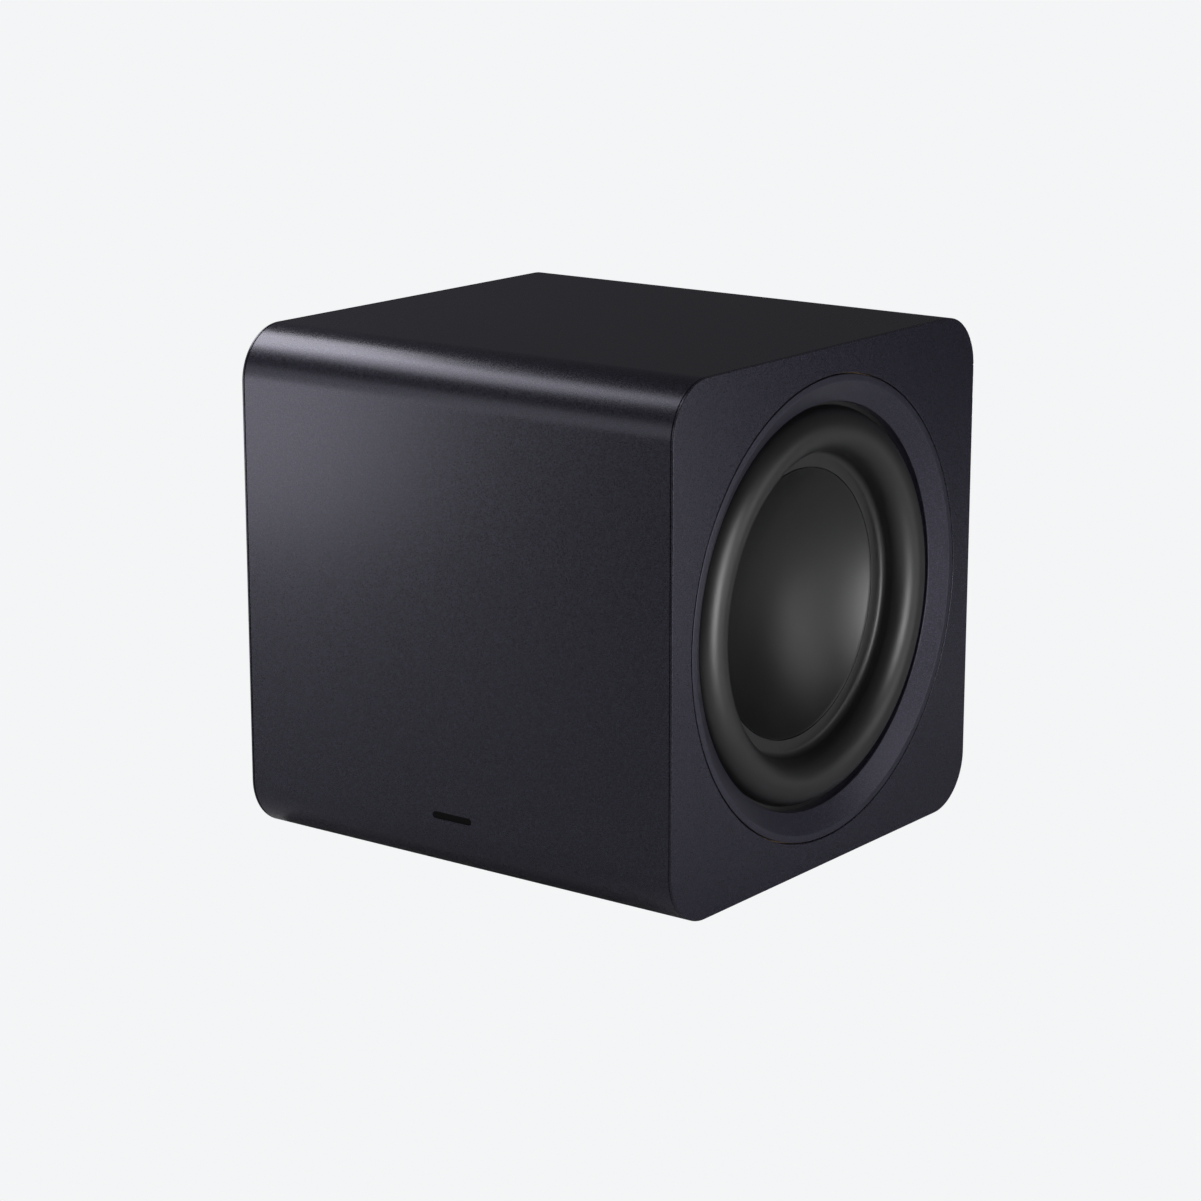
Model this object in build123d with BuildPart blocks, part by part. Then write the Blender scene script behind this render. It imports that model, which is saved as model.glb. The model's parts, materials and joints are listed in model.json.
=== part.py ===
"""Compact cube subwoofer with two mirrored drivers, one on each side.

Origin: middle of the underside of the feet. +X is right, -Y is the front and +Z is up.
Every driver size is axial ("out" from the cabinet's middle, along +X or -X) or radial.
"""

from build123d import *
from math import sqrt
import os

os.makedirs("parts", exist_ok=True)

# ---------------------------------------------------------------- cabinet sizes, millimetres
CABINET_WIDTH = 249.0  # along X, over both side panels
CABINET_DEPTH = 249.0  # along Y
CABINET_HEIGHT = 246.0  # along Z, without the feet
CORNER_RADIUS = 26.0
WALL = 12.0
SIDE_PANEL_THICKNESS = 3.5
SIDE_PANEL_LIP = 1.0  # the panel is this thin where it lies over the end of the wrap
SIDE_PANEL_EDGE_CHAMFER = 0.3
PANEL_CORE_CLEARANCE = 0.3  # between the thick middle of the panel and the inside of the wrap
SEAM_GAP = 0.4  # open line between the wrap and each side panel
SEAM_DEPTH = 2.5
SEAT_RIM_WIDTH = 9.0
WRAP_EDGE_CHAMFER = 0.4
BAFFLE_THICKNESS = 16.0
BAFFLE_CLEARANCE = 0.2
LOCATING_PEG_RADIUS = 3.0
LOCATING_PEG_LENGTH = 6.0
LOCATING_PEG_INSET = 12.0  # from the wrap's inner walls

# ---------------------------------------------------------------- trim ring and frame seat
TRIM_OUTER_RADIUS = 109.4
TRIM_GAP = 0.6
TRIM_LIP_WIDTH = 3.2
TRIM_INNER_RADIUS = 96.2
TRIM_CONE_DROP = 5.8
TRIM_SHELL_THICKNESS = 3.4
TRIM_EDGE_CHAMFER = 0.4
TRIM_PEG_RADIUS = 2.0
TRIM_PEG_COUNT = 4
SEAT_DEPTH = 12.0  # step cut in the baffle's face for the driver's flange
GLUE_LINE = 0.05
FIT_CLEARANCE = 0.05  # shank or peg in its hole

# ---------------------------------------------------------------- driver sizes
GASKET_THICKNESS = 1.0
FLANGE_THICKNESS = 2.5
FLANGE_OUTER_RADIUS = 105.9
FLANGE_CLEARANCE = 0.4
BASKET_MOUTH_RADIUS = 90.0
BASKET_WALL = 2.5
BASKET_SIDE_DEPTH = 12.5  # straight wall behind the flange
SHELF_DEPTH = 38.5  # spider shelf, behind the flange's front
SHELF_INNER_RADIUS = 58.0
SHELF_OUTER_RADIUS = 66.0
BASKET_DEPTH = 50.5
BASKET_FLOOR_BORE = 38.0
WINDOW_COUNT = 6
WINDOW_INNER_RADIUS = 70.0
WINDOW_OUTER_RADIUS = 87.0
SPOKE_WIDTH = 15.0
SCREW_COUNT = 8
SCREW_CIRCLE_RADIUS = 102.4
SCREW_HEAD_RADIUS = 3.2
SCREW_HEAD_HEIGHT = 2.4
SCREW_SHANK_RADIUS = 1.9
SCREW_HOLE_RADIUS = 2.3
SCREW_LENGTH = 6.5

RUBBER_THICKNESS = 1.2
ROLL_MEAN_RADIUS = 83.4
ROLL_RADIUS = 10.9
ROLL_CENTRE_DROP = 0.5
SURROUND_FOOT_RADIUS = 98.9
SURROUND_INNER_RADIUS = 64.3

LIP_DROP = 7.1  # cone lip's front, behind the flange's front
LIP_THICKNESS = 1.2
LIP_OUTER_RADIUS = 72.4
LIP_INNER_RADIUS = 63.05
BODY_GLUE_LINE = 0.1  # between the moving cone and the rubber
CONE_THICKNESS = 1.4
CONE_STEP = 2.8
CONE_NECK_DROP = 32.5
FORMER_RADIUS = 25.2
FORMER_THICKNESS = 0.2
DISH_EDGE_RADIUS = 63.9
DISH_EDGE_DROP = 5.9
DISH_SAG = 20.6
DISH_THICKNESS = 1.4

TOP_PLATE_THICKNESS = 8.0
TOP_PLATE_RADIUS = 55.0
MAGNET_RADIUS = 60.0
MAGNET_BORE_RADIUS = 32.0
MAGNET_THICKNESS = 20.0
YOKE_THICKNESS = 7.0
YOKE_RADIUS = 57.0
POLE_RISE = 2.0
POLE_VENT_RADIUS = 9.0
COIL_THICKNESS = 1.0
COIL_LENGTH = 18.0
COIL_OUTER_GAP = 0.4
POLE_GAP = 0.6
STROKE = 8.0
STROKE_MARGIN = 2.0
FORMER_OVERRUN = 2.0  # former goes on past the cone's neck

SPIDER_THICKNESS = 0.8
SPIDER_OUTER_RADIUS = 65.0
SPIDER_ROLLS = 5
SPIDER_ROLL_START = 30.0
SPIDER_GLUE_GAP = 0.3
SPIDER_COLLAR_HEIGHT = 2.2

TERMINAL_EAR_WIDTH = 26.0
TERMINAL_EAR_REACH = 78.0
TERMINAL_BOARD_THICKNESS = 2.0
TERMINAL_SPACING = 12.0
BLADE_WIDTH = 4.8
BLADE_THICKNESS = 0.8
BLADE_LENGTH = 8.0
TINSEL_RADIUS = 0.7
LEAD_RADIUS = 1.2

# ---------------------------------------------------------------- feet and front bar
FOOT_HEIGHT = 3.0
FOOT_RADIUS = 13.0
FOOT_TAPER = 0.8
FOOT_INSET = 44.5
FOOT_SCREW_HEAD_RADIUS = 4.0
FOOT_SCREW_HEAD_HEIGHT = 1.2
FOOT_SCREW_HEAD_DEPTH = 1.2  # head's underside, below the cabinet's bottom
FOOT_SCREW_SHANK_RADIUS = 1.9
FOOT_SCREW_LENGTH = 11.0
BAR_WIDTH = 23.0
BAR_HEIGHT = 3.4
BAR_THICKNESS = 0.5
BAR_RISE = 30.1  # its middle, above the cabinet's bottom
BAR_SETBACK = 0.1

# ---------------------------------------------------------------- rear panel and electronics
REAR_PANEL_WIDTH = 150.0
REAR_PANEL_HEIGHT = 120.0
REAR_PANEL_THICKNESS = 3.0
REAR_PANEL_DROP = 20.0  # its middle, below the drivers' axis
REAR_PANEL_CORNER = 6.0
REAR_PANEL_RECESS = 2.0
REAR_PANEL_CLEARANCE = 0.4
REAR_GASKET_THICKNESS = 1.0
REAR_LEDGE = 8.0
REAR_SCREW_INSET = 4.0
REAR_SCREW_SHANK_RADIUS = 1.5
REAR_SCREW_HEAD_RADIUS = 2.9
REAR_SCREW_HEAD_HEIGHT = 1.5
REAR_SCREW_LENGTH = 9.0

INLET_X = -38.0
INLET_DROP = 36.0  # below the rear panel's middle
INLET_FLANGE_WIDTH = 26.0
INLET_FLANGE_HEIGHT = 15.0
INLET_FLANGE_THICKNESS = 1.5
INLET_BODY_WIDTH = 19.0
INLET_BODY_HEIGHT = 12.0
INLET_BODY_DEPTH = 18.5
INLET_LOBE_RADIUS = 4.2
INLET_LOBE_SPACING = 7.2
INLET_WAIST = 6.4
INLET_SOCKET_DEPTH = 14.0
INLET_PIN_RADIUS = 1.2
INLET_PIN_SPACING = 8.6
INLET_PIN_SETBACK = 3.0

BUTTON_X = 38.0
BUTTON_RISE = 36.0  # above the rear panel's middle
BUTTON_RADIUS = 4.0
BUTTON_CLEARANCE = 0.3
BUTTON_PROUD = 0.8
BUTTON_TRAVEL = 0.5
BUTTON_FLANGE = 1.2
BUTTON_FLANGE_THICKNESS = 1.0
BUTTON_STEM_RADIUS = 1.6
BUTTON_STEM_LENGTH = 3.0
ACTUATOR_RADIUS = 1.5
ACTUATOR_LENGTH = 3.0
SWITCH_SIZE = 6.0
SWITCH_HEIGHT = 3.5
SWITCH_OVERLAP = 1.0  # actuator's length inside the switch at rest
LENS_X = 25.0
LENS_RADIUS = 1.5
LENS_PROUD = 0.3
LED_SIZE = 2.0
LED_HEIGHT = 1.0
BOARD_THICKNESS = 1.6
CONTROL_BOARD_WIDTH = 40.0
CONTROL_BOARD_HEIGHT = 16.0
CONTROL_BOARD_X = 30.0
CONTROL_HOLE_SPACING = 33.0
STANDOFF_RADIUS = 2.6
STANDOFF_BORE_RADIUS = 1.3
BOARD_HOLE_RADIUS = 1.6
BOARD_SCREW_HEAD_RADIUS = 2.4
BOARD_SCREW_HEAD_HEIGHT = 1.3
BOARD_SCREW_SHANK_RADIUS = 1.25
BOARD_SCREW_LENGTH = 6.0
AMP_BOARD_WIDTH = 118.0
AMP_BOARD_HEIGHT = 92.0
AMP_STANDOFF_LENGTH = 21.5
AMP_HOLE_INSET = 4.5

# ---------------------------------------------------------------- worked-out places
SIDES = {"right": 1, "left": -1}
driver_z = FOOT_HEIGHT + CABINET_HEIGHT / 2
half_width = CABINET_WIDTH / 2
half_depth = CABINET_DEPTH / 2
panel_back = half_width - SIDE_PANEL_THICKNESS
lip_back = half_width - SIDE_PANEL_LIP
wrap_end = lip_back - SEAM_GAP
inner_depth = CABINET_DEPTH - 2 * WALL
inner_height = CABINET_HEIGHT - 2 * WALL
baffle_back = panel_back - BAFFLE_THICKNESS
seat_floor = panel_back - SEAT_DEPTH
flange_back = seat_floor + GASKET_THICKNESS
flange_front = flange_back + FLANGE_THICKNESS
seat_radius = FLANGE_OUTER_RADIUS + FLANGE_CLEARANCE
basket_outer_radius = BASKET_MOUTH_RADIUS + BASKET_WALL
baffle_hole_radius = basket_outer_radius + 1.5
foot_front = flange_front + RUBBER_THICKNESS
shelf_front = flange_front - SHELF_DEPTH
basket_floor_back = flange_front - BASKET_DEPTH
basket_floor_front = basket_floor_back + BASKET_WALL
top_plate_back = basket_floor_back - TOP_PLATE_THICKNESS
magnet_back = top_plate_back - MAGNET_THICKNESS
yoke_back = magnet_back - YOKE_THICKNESS
lip_front = flange_front - LIP_DROP
neck_front = flange_front - CONE_NECK_DROP
former_outer_radius = FORMER_RADIUS + FORMER_THICKNESS
former_back = magnet_back + STROKE + STROKE_MARGIN
coil_middle = basket_floor_back - TOP_PLATE_THICKNESS / 2
coil_outer_radius = former_outer_radius + COIL_THICKNESS
spider_middle = shelf_front + SPIDER_THICKNESS / 2
locating_peg_y = inner_depth / 2 - LOCATING_PEG_INSET
locating_peg_z = inner_height / 2 - LOCATING_PEG_INSET
foot_x = half_width - FOOT_INSET
foot_y = half_depth - FOOT_INSET
bar_z = FOOT_HEIGHT + BAR_RISE
panel_z = driver_z - REAR_PANEL_DROP
panel_face = half_depth - REAR_PANEL_RECESS
panel_inside = panel_face - REAR_PANEL_THICKNESS
ledge_face = panel_inside - REAR_GASKET_THICKNESS
opening_width = REAR_PANEL_WIDTH - 2 * REAR_LEDGE
opening_height = REAR_PANEL_HEIGHT - 2 * REAR_LEDGE
rear_screw_x = REAR_PANEL_WIDTH / 2 - REAR_SCREW_INSET
rear_screw_z = REAR_PANEL_HEIGHT / 2 - REAR_SCREW_INSET
rear_screw_places = [
    (x, z) for x in (-rear_screw_x, 0, rear_screw_x) for z in (-rear_screw_z, rear_screw_z)
]
inlet_place = (INLET_X, -INLET_DROP)
inlet_back = panel_face - INLET_BODY_DEPTH
amp_board_front = panel_inside - AMP_STANDOFF_LENGTH
amp_board_back = amp_board_front - BOARD_THICKNESS
switch_top = (
    panel_inside
    - BUTTON_CLEARANCE
    - BUTTON_FLANGE_THICKNESS
    - BUTTON_STEM_LENGTH
    - ACTUATOR_LENGTH
    + SWITCH_OVERLAP
)
control_board_front = switch_top - SWITCH_HEIGHT
control_board_back = control_board_front - BOARD_THICKNESS
amp_hole_places = [
    (x * (AMP_BOARD_WIDTH / 2 - AMP_HOLE_INSET), z * (AMP_BOARD_HEIGHT / 2 - AMP_HOLE_INSET))
    for x in (-1, 1)
    for z in (-1, 1)
]
control_hole_places = [
    (CONTROL_BOARD_X + x * CONTROL_HOLE_SPACING / 2, BUTTON_RISE) for x in (-1, 1)
]


def face_plane(side, out):
    """Plane facing out of one side, at a distance from the cabinet's middle: local y is up."""
    return Plane(origin=(side * out, 0, driver_z), x_dir=(0, side, 0), z_dir=(side, 0, 0))


def profile_plane(side):
    """Half-section plane of one driver: local x is the radius and local y is the way out."""
    return Plane(origin=(0, 0, driver_z), x_dir=(0, 0, 1), z_dir=(0, side, 0))


def front_plane(out):
    """Plane facing the front at the blank bar's middle: local x is X, local y is up."""
    return Plane(origin=(0, -out, bar_z), x_dir=(1, 0, 0), z_dir=(0, -1, 0))


def rear_plane(y):
    """Plane facing the back at the rear panel's middle: local x is -X, local y is up."""
    return Plane(origin=(0, y, panel_z), x_dir=(-1, 0, 0), z_dir=(0, 1, 0))


def rear(places):
    """Places given as (X, up) on the rear panel, in the rear plane's own coordinates."""
    return [(-x, z) for x, z in places]


def save(piece, label):
    """Label one finished piece and write it."""
    piece.part.label = label
    export_step(piece.part, f"parts/{label}.step")


driver_axis = Axis((0, 0, driver_z), (1, 0, 0))


def ring_section(inner, outer, back, front):
    """Rectangle of a ring's half section, inside a sketch on the profile plane."""
    with Locations(((inner + outer) / 2, (back + front) / 2)):
        Rectangle(outer - inner, front - back)


def screw_circles(radius, mode=Mode.ADD):
    """One circle for each driver screw, inside a sketch on a face plane."""
    with PolarLocations(SCREW_CIRCLE_RADIUS, SCREW_COUNT, start_angle=180 / SCREW_COUNT):
        Circle(radius, mode=mode)


def trim_peg_circles(radius, mode=Mode.ADD):
    """One circle for each of the trim ring's pegs, inside a sketch on a face plane."""
    with PolarLocations(SCREW_CIRCLE_RADIUS, TRIM_PEG_COUNT):
        Circle(radius, mode=mode)


def body_outline(inset, mode=Mode.ADD):
    """The cabinet's rounded-square outline, set in from the outside, in a sketch on a face plane."""
    RectangleRounded(
        CABINET_DEPTH - 2 * inset, CABINET_HEIGHT - 2 * inset, CORNER_RADIUS - inset, mode=mode
    )


# ---------------------------------------------------------------- cabinet
def build_cabinet_wrap():
    """One skin round the top, front, bottom and back, open at both sides."""
    with BuildPart() as wrap:
        with BuildSketch(face_plane(1, 0)):
            body_outline(0)
        extrude(amount=wrap_end, both=True)
        ends = wrap.faces().filter_by(Axis.X)
        chamfer(ends.edges(), WRAP_EDGE_CHAMFER)
        with BuildSketch(face_plane(1, 0)):
            body_outline(WALL)
        extrude(amount=wrap_end, both=True, mode=Mode.SUBTRACT)
        with BuildSketch(rear_plane(ledge_face)):
            RectangleRounded(
                REAR_PANEL_WIDTH + 2 * REAR_PANEL_CLEARANCE,
                REAR_PANEL_HEIGHT + 2 * REAR_PANEL_CLEARANCE,
                REAR_PANEL_CORNER + REAR_PANEL_CLEARANCE,
            )
        extrude(amount=half_depth - ledge_face, mode=Mode.SUBTRACT)
        with BuildSketch(rear_plane(half_depth)):
            Rectangle(opening_width, opening_height)
        extrude(amount=-2 * WALL, mode=Mode.SUBTRACT)
        with BuildSketch(rear_plane(ledge_face)):
            with Locations(*rear(rear_screw_places)):
                Circle(REAR_SCREW_SHANK_RADIUS + FIT_CLEARANCE)
        extrude(amount=-WALL, mode=Mode.SUBTRACT)
        with BuildSketch(Plane.XY.offset(FOOT_HEIGHT)):
            with GridLocations(2 * foot_x, 2 * foot_y, 2, 2):
                Circle(FOOT_SCREW_SHANK_RADIUS + FIT_CLEARANCE)
        extrude(amount=WALL, mode=Mode.SUBTRACT)
        with BuildSketch(front_plane(half_depth)):
            SlotOverall(BAR_WIDTH + 2 * FIT_CLEARANCE, BAR_HEIGHT + 2 * FIT_CLEARANCE)
        extrude(amount=-(BAR_THICKNESS + BAR_SETBACK), mode=Mode.SUBTRACT)
    save(wrap, "cabinet_wrap")


def build_front_bar():
    """Plain blank bar let into the front, near the bottom."""
    with BuildPart() as bar:
        with BuildSketch(front_plane(half_depth - BAR_SETBACK)):
            SlotOverall(BAR_WIDTH, BAR_HEIGHT)
        extrude(amount=-BAR_THICKNESS)
    save(bar, "front_bar")


def build_side_panel(side_name, side):
    """Flat panel: a thin lip over the wrap's end, a thick middle, the opening and four pegs."""
    with BuildPart() as panel:
        with BuildSketch(face_plane(side, lip_back)):
            body_outline(0)
        extrude(amount=SIDE_PANEL_LIP)
        front = panel.faces().sort_by(Axis.X)[-1 if side > 0 else 0]
        chamfer(front.edges(), SIDE_PANEL_EDGE_CHAMFER)
        with BuildSketch(face_plane(side, panel_back)):
            body_outline(WALL + PANEL_CORE_CLEARANCE)
        extrude(amount=SIDE_PANEL_THICKNESS - SIDE_PANEL_LIP)
        with BuildSketch(face_plane(side, panel_back)):
            Circle(TRIM_OUTER_RADIUS + TRIM_GAP)
        extrude(amount=SIDE_PANEL_THICKNESS, mode=Mode.SUBTRACT)
        front = panel.faces().sort_by(Axis.X)[-1 if side > 0 else 0]
        rims = front.edges().filter_by(GeomType.CIRCLE).sort_by(Edge.radius)
        chamfer(rims[-1], TRIM_EDGE_CHAMFER)
        with BuildSketch(face_plane(side, wrap_end)):
            body_outline(SEAM_DEPTH)
            body_outline(SEAM_DEPTH + SEAT_RIM_WIDTH, Mode.SUBTRACT)
        extrude(amount=SEAM_GAP)
        with BuildSketch(face_plane(side, panel_back)):
            with GridLocations(2 * locating_peg_y, 2 * locating_peg_z, 2, 2):
                Circle(LOCATING_PEG_RADIUS)
        extrude(amount=-LOCATING_PEG_LENGTH)
    save(panel, f"side_panel_{side_name}")


def build_baffle(side_name, side):
    """Board inside the wrap with a stepped hole that the driver's flange sits in."""
    with BuildPart() as baffle:
        with BuildSketch(face_plane(side, baffle_back)):
            body_outline(WALL + BAFFLE_CLEARANCE)
            Circle(baffle_hole_radius, mode=Mode.SUBTRACT)
        extrude(amount=BAFFLE_THICKNESS)
        with BuildSketch(face_plane(side, seat_floor)):
            Circle(seat_radius)
        extrude(amount=SEAT_DEPTH, mode=Mode.SUBTRACT)
        with BuildSketch(face_plane(side, panel_back)):
            with GridLocations(2 * locating_peg_y, 2 * locating_peg_z, 2, 2):
                Circle(LOCATING_PEG_RADIUS + FIT_CLEARANCE)
        extrude(amount=-(LOCATING_PEG_LENGTH + TRIM_EDGE_CHAMFER), mode=Mode.SUBTRACT)
        with BuildSketch(face_plane(side, seat_floor)):
            screw_circles(SCREW_SHANK_RADIUS + FIT_CLEARANCE)
            trim_peg_circles(TRIM_PEG_RADIUS + FIT_CLEARANCE)
        extrude(amount=-BAFFLE_THICKNESS, mode=Mode.SUBTRACT)
    save(baffle, f"baffle_{side_name}")


def build_trim_ring(side_name, side):
    """Ring flush with the panel, with a cone face going in and a skirt that clamps the rubber."""
    skirt_inner = TRIM_INNER_RADIUS + 0.3
    skirt_outer = SURROUND_FOOT_RADIUS
    lip_start = TRIM_OUTER_RADIUS - TRIM_LIP_WIDTH
    inner_edge = half_width - TRIM_CONE_DROP
    slope = TRIM_CONE_DROP / (lip_start - TRIM_INNER_RADIUS)
    shell_back = inner_edge + slope * (skirt_outer - TRIM_INNER_RADIUS) - TRIM_SHELL_THICKNESS
    seat_front = panel_back + GLUE_LINE
    skirt_back = foot_front + GLUE_LINE
    with BuildPart() as trim:
        with BuildSketch(profile_plane(side)):
            with BuildLine():
                Polyline(
                    (skirt_outer, skirt_back),
                    (skirt_inner, skirt_back),
                    (skirt_inner, inner_edge - 0.7),
                    (TRIM_INNER_RADIUS, inner_edge - 0.3),
                    (TRIM_INNER_RADIUS, inner_edge),
                    (lip_start, half_width),
                    (TRIM_OUTER_RADIUS - TRIM_EDGE_CHAMFER, half_width),
                    (TRIM_OUTER_RADIUS, half_width - TRIM_EDGE_CHAMFER),
                    (TRIM_OUTER_RADIUS, seat_front),
                    (lip_start, seat_front),
                    (skirt_outer, shell_back),
                    close=True,
                )
            make_face()
        revolve(axis=driver_axis)
        with BuildSketch(face_plane(side, seat_floor - GASKET_THICKNESS)):
            trim_peg_circles(TRIM_PEG_RADIUS)
        extrude(amount=panel_back - seat_floor + GASKET_THICKNESS)
    save(trim, f"trim_ring_{side_name}")


# ---------------------------------------------------------------- driver
def build_frame(side_name, side):
    """Basket with a flat flange, a windowed cone wall, a spider shelf and a floor for the motor."""
    shelf_back = shelf_front - BASKET_WALL
    side_back = flange_front - BASKET_SIDE_DEPTH
    window_length = WINDOW_OUTER_RADIUS - WINDOW_INNER_RADIUS
    window_middle = (WINDOW_INNER_RADIUS + WINDOW_OUTER_RADIUS) / 2
    with BuildPart() as frame:
        with BuildSketch(profile_plane(side)):
            with BuildLine():
                Polyline(
                    (BASKET_FLOOR_BORE, basket_floor_back),
                    (SHELF_INNER_RADIUS + BASKET_WALL, basket_floor_back),
                    (SHELF_INNER_RADIUS + BASKET_WALL, shelf_back),
                    (SHELF_OUTER_RADIUS + 1.0, shelf_back),
                    (basket_outer_radius, side_back - 1.0),
                    (basket_outer_radius, flange_back),
                    (FLANGE_OUTER_RADIUS, flange_back),
                    (FLANGE_OUTER_RADIUS, flange_front),
                    (BASKET_MOUTH_RADIUS, flange_front),
                    (BASKET_MOUTH_RADIUS, side_back),
                    (SHELF_OUTER_RADIUS, shelf_front),
                    (SHELF_INNER_RADIUS, shelf_front),
                    (SHELF_INNER_RADIUS, basket_floor_front),
                    (BASKET_FLOOR_BORE, basket_floor_front),
                    close=True,
                )
            make_face()
        revolve(axis=driver_axis)
        with BuildSketch(face_plane(side, shelf_front - BASKET_WALL)):
            Circle(WINDOW_OUTER_RADIUS)
            Circle(WINDOW_INNER_RADIUS, mode=Mode.SUBTRACT)
            with PolarLocations(window_middle, WINDOW_COUNT, start_angle=180 / WINDOW_COUNT):
                Rectangle(2 * window_length, SPOKE_WIDTH, mode=Mode.SUBTRACT)
        extrude(amount=side_back - shelf_front + BASKET_WALL, mode=Mode.SUBTRACT)
        ear_middle = (SHELF_INNER_RADIUS + TERMINAL_EAR_REACH) / 2
        with BuildSketch(face_plane(side, basket_floor_back)):
            with Locations((side * ear_middle, 0)):
                Rectangle(TERMINAL_EAR_REACH - SHELF_INNER_RADIUS, TERMINAL_EAR_WIDTH)
            Circle(SHELF_INNER_RADIUS + BASKET_WALL / 2, mode=Mode.SUBTRACT)
        extrude(amount=BASKET_WALL)
        with BuildSketch(face_plane(side, flange_back)):
            screw_circles(SCREW_HOLE_RADIUS)
            trim_peg_circles(SCREW_HOLE_RADIUS)
        extrude(amount=FLANGE_THICKNESS, mode=Mode.SUBTRACT)
        with BuildSketch(face_plane(side, basket_floor_back)):
            with Locations(*tinsel_places(side)):
                Circle(TINSEL_RADIUS + 2 * FIT_CLEARANCE)
        extrude(amount=BASKET_WALL, mode=Mode.SUBTRACT)
    save(frame, f"driver_frame_{side_name}")


def tinsel_places(side):
    """Where the two tinsel leads come up through the frame's ear, on a face plane."""
    reach = TERMINAL_EAR_REACH - 5.0
    return [(side * reach, -TERMINAL_SPACING / 2), (side * reach, TERMINAL_SPACING / 2)]


def build_frame_gasket(side_name, side):
    """Foam ring between the driver's flange and the baffle."""
    with BuildPart() as gasket:
        with BuildSketch(face_plane(side, seat_floor)):
            Circle(FLANGE_OUTER_RADIUS)
            Circle(baffle_hole_radius + 0.5, mode=Mode.SUBTRACT)
            screw_circles(SCREW_HOLE_RADIUS, Mode.SUBTRACT)
            trim_peg_circles(SCREW_HOLE_RADIUS, Mode.SUBTRACT)
        extrude(amount=GASKET_THICKNESS)
    save(gasket, f"frame_gasket_{side_name}")


def build_driver_screws():
    """Pan-head screws through both flanges into the baffles."""
    with BuildPart() as screws:
        for side in SIDES.values():
            with BuildSketch(face_plane(side, flange_front)):
                screw_circles(SCREW_HEAD_RADIUS)
            extrude(amount=SCREW_HEAD_HEIGHT)
            with BuildSketch(face_plane(side, flange_front)):
                screw_circles(SCREW_SHANK_RADIUS)
            extrude(amount=-SCREW_LENGTH)
            heads = screws.faces().sort_by(Axis.X, reverse=side > 0)[:SCREW_COUNT]
            chamfer(heads.edges(), SCREW_HEAD_HEIGHT / 4)
    save(screws, "driver_screws")


def build_surround(side_name, side):
    """Half-roll rubber edge between the flange and the cone's lip."""
    roll_middle = flange_front - ROLL_CENTRE_DROP
    inner_leg = ROLL_MEAN_RADIUS - ROLL_RADIUS
    leg_outside = inner_leg + RUBBER_THICKNESS
    flange_base = lip_front + BODY_GLUE_LINE
    flange_top = flange_base + RUBBER_THICKNESS
    below_middle = (Align.CENTER, Align.MAX)
    below_flange = (Align.MIN, Align.MAX)
    with BuildPart() as surround:
        with BuildSketch(profile_plane(side)):
            with Locations((ROLL_MEAN_RADIUS, roll_middle)):
                Circle(ROLL_RADIUS)
                Circle(ROLL_RADIUS - RUBBER_THICKNESS, mode=Mode.SUBTRACT)
            with Locations((ROLL_MEAN_RADIUS, roll_middle)):
                Rectangle(4 * ROLL_RADIUS, 2 * ROLL_RADIUS, align=below_middle, mode=Mode.SUBTRACT)
            with Locations((ROLL_MEAN_RADIUS, flange_front)):
                Rectangle(2 * ROLL_RADIUS, 2 * ROLL_RADIUS, align=below_flange, mode=Mode.SUBTRACT)
            outer_leg = ROLL_MEAN_RADIUS + ROLL_RADIUS - RUBBER_THICKNESS
            ring_section(outer_leg, SURROUND_FOOT_RADIUS, flange_front, foot_front)
            ring_section(inner_leg, leg_outside, flange_base, roll_middle)
            ring_section(SURROUND_INNER_RADIUS, leg_outside, flange_base, flange_top)
        revolve(axis=driver_axis)
    save(surround, f"surround_{side_name}")


def build_cone(side_name, side):
    """Stiff cone from the voice coil's neck out to the lip that the rubber is glued on."""
    neck_radius = former_outer_radius + GLUE_LINE
    step_front = lip_front - CONE_STEP
    with BuildPart() as cone:
        with BuildSketch(profile_plane(side)):
            with BuildLine():
                Polyline(
                    (neck_radius, neck_front),
                    (LIP_INNER_RADIUS, step_front),
                    (LIP_INNER_RADIUS, lip_front),
                    (LIP_OUTER_RADIUS, lip_front),
                    (LIP_OUTER_RADIUS, lip_front - LIP_THICKNESS),
                    (LIP_INNER_RADIUS + CONE_THICKNESS, lip_front - LIP_THICKNESS),
                    (LIP_INNER_RADIUS + CONE_THICKNESS, step_front - CONE_THICKNESS / 2),
                    (neck_radius, neck_front - CONE_THICKNESS),
                    close=True,
                )
            make_face()
        revolve(axis=driver_axis)
    save(cone, f"cone_{side_name}")


def build_dish(side_name, side):
    """Large concave dish that covers the cone, standing on the lip's inner edge."""
    edge_out = flange_front - DISH_EDGE_DROP
    centre_out = edge_out - DISH_SAG
    front_radius = (DISH_EDGE_RADIUS**2 + DISH_SAG**2) / (2 * DISH_SAG)
    back_radius = front_radius + DISH_THICKNESS
    ball_out = centre_out + front_radius
    foot_out = lip_front + GLUE_LINE
    half_edge = DISH_EDGE_RADIUS / 2
    step_radius = LIP_INNER_RADIUS - GLUE_LINE
    half_step = step_radius / 2
    back_edge_out = ball_out - sqrt(back_radius**2 - step_radius**2)
    with BuildPart() as dish:
        with BuildSketch(profile_plane(side)):
            with BuildLine():
                ThreePointArc(
                    (0, centre_out),
                    (half_edge, ball_out - sqrt(front_radius**2 - half_edge**2)),
                    (DISH_EDGE_RADIUS, edge_out),
                )
                Polyline(
                    (DISH_EDGE_RADIUS, edge_out),
                    (DISH_EDGE_RADIUS, foot_out),
                    (step_radius, foot_out),
                    (step_radius, back_edge_out),
                )
                ThreePointArc(
                    (step_radius, back_edge_out),
                    (half_step, ball_out - sqrt(back_radius**2 - half_step**2)),
                    (0, centre_out - DISH_THICKNESS),
                )
                Line((0, centre_out - DISH_THICKNESS), (0, centre_out))
            make_face()
        revolve(axis=driver_axis)
    save(dish, f"dish_{side_name}")


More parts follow.
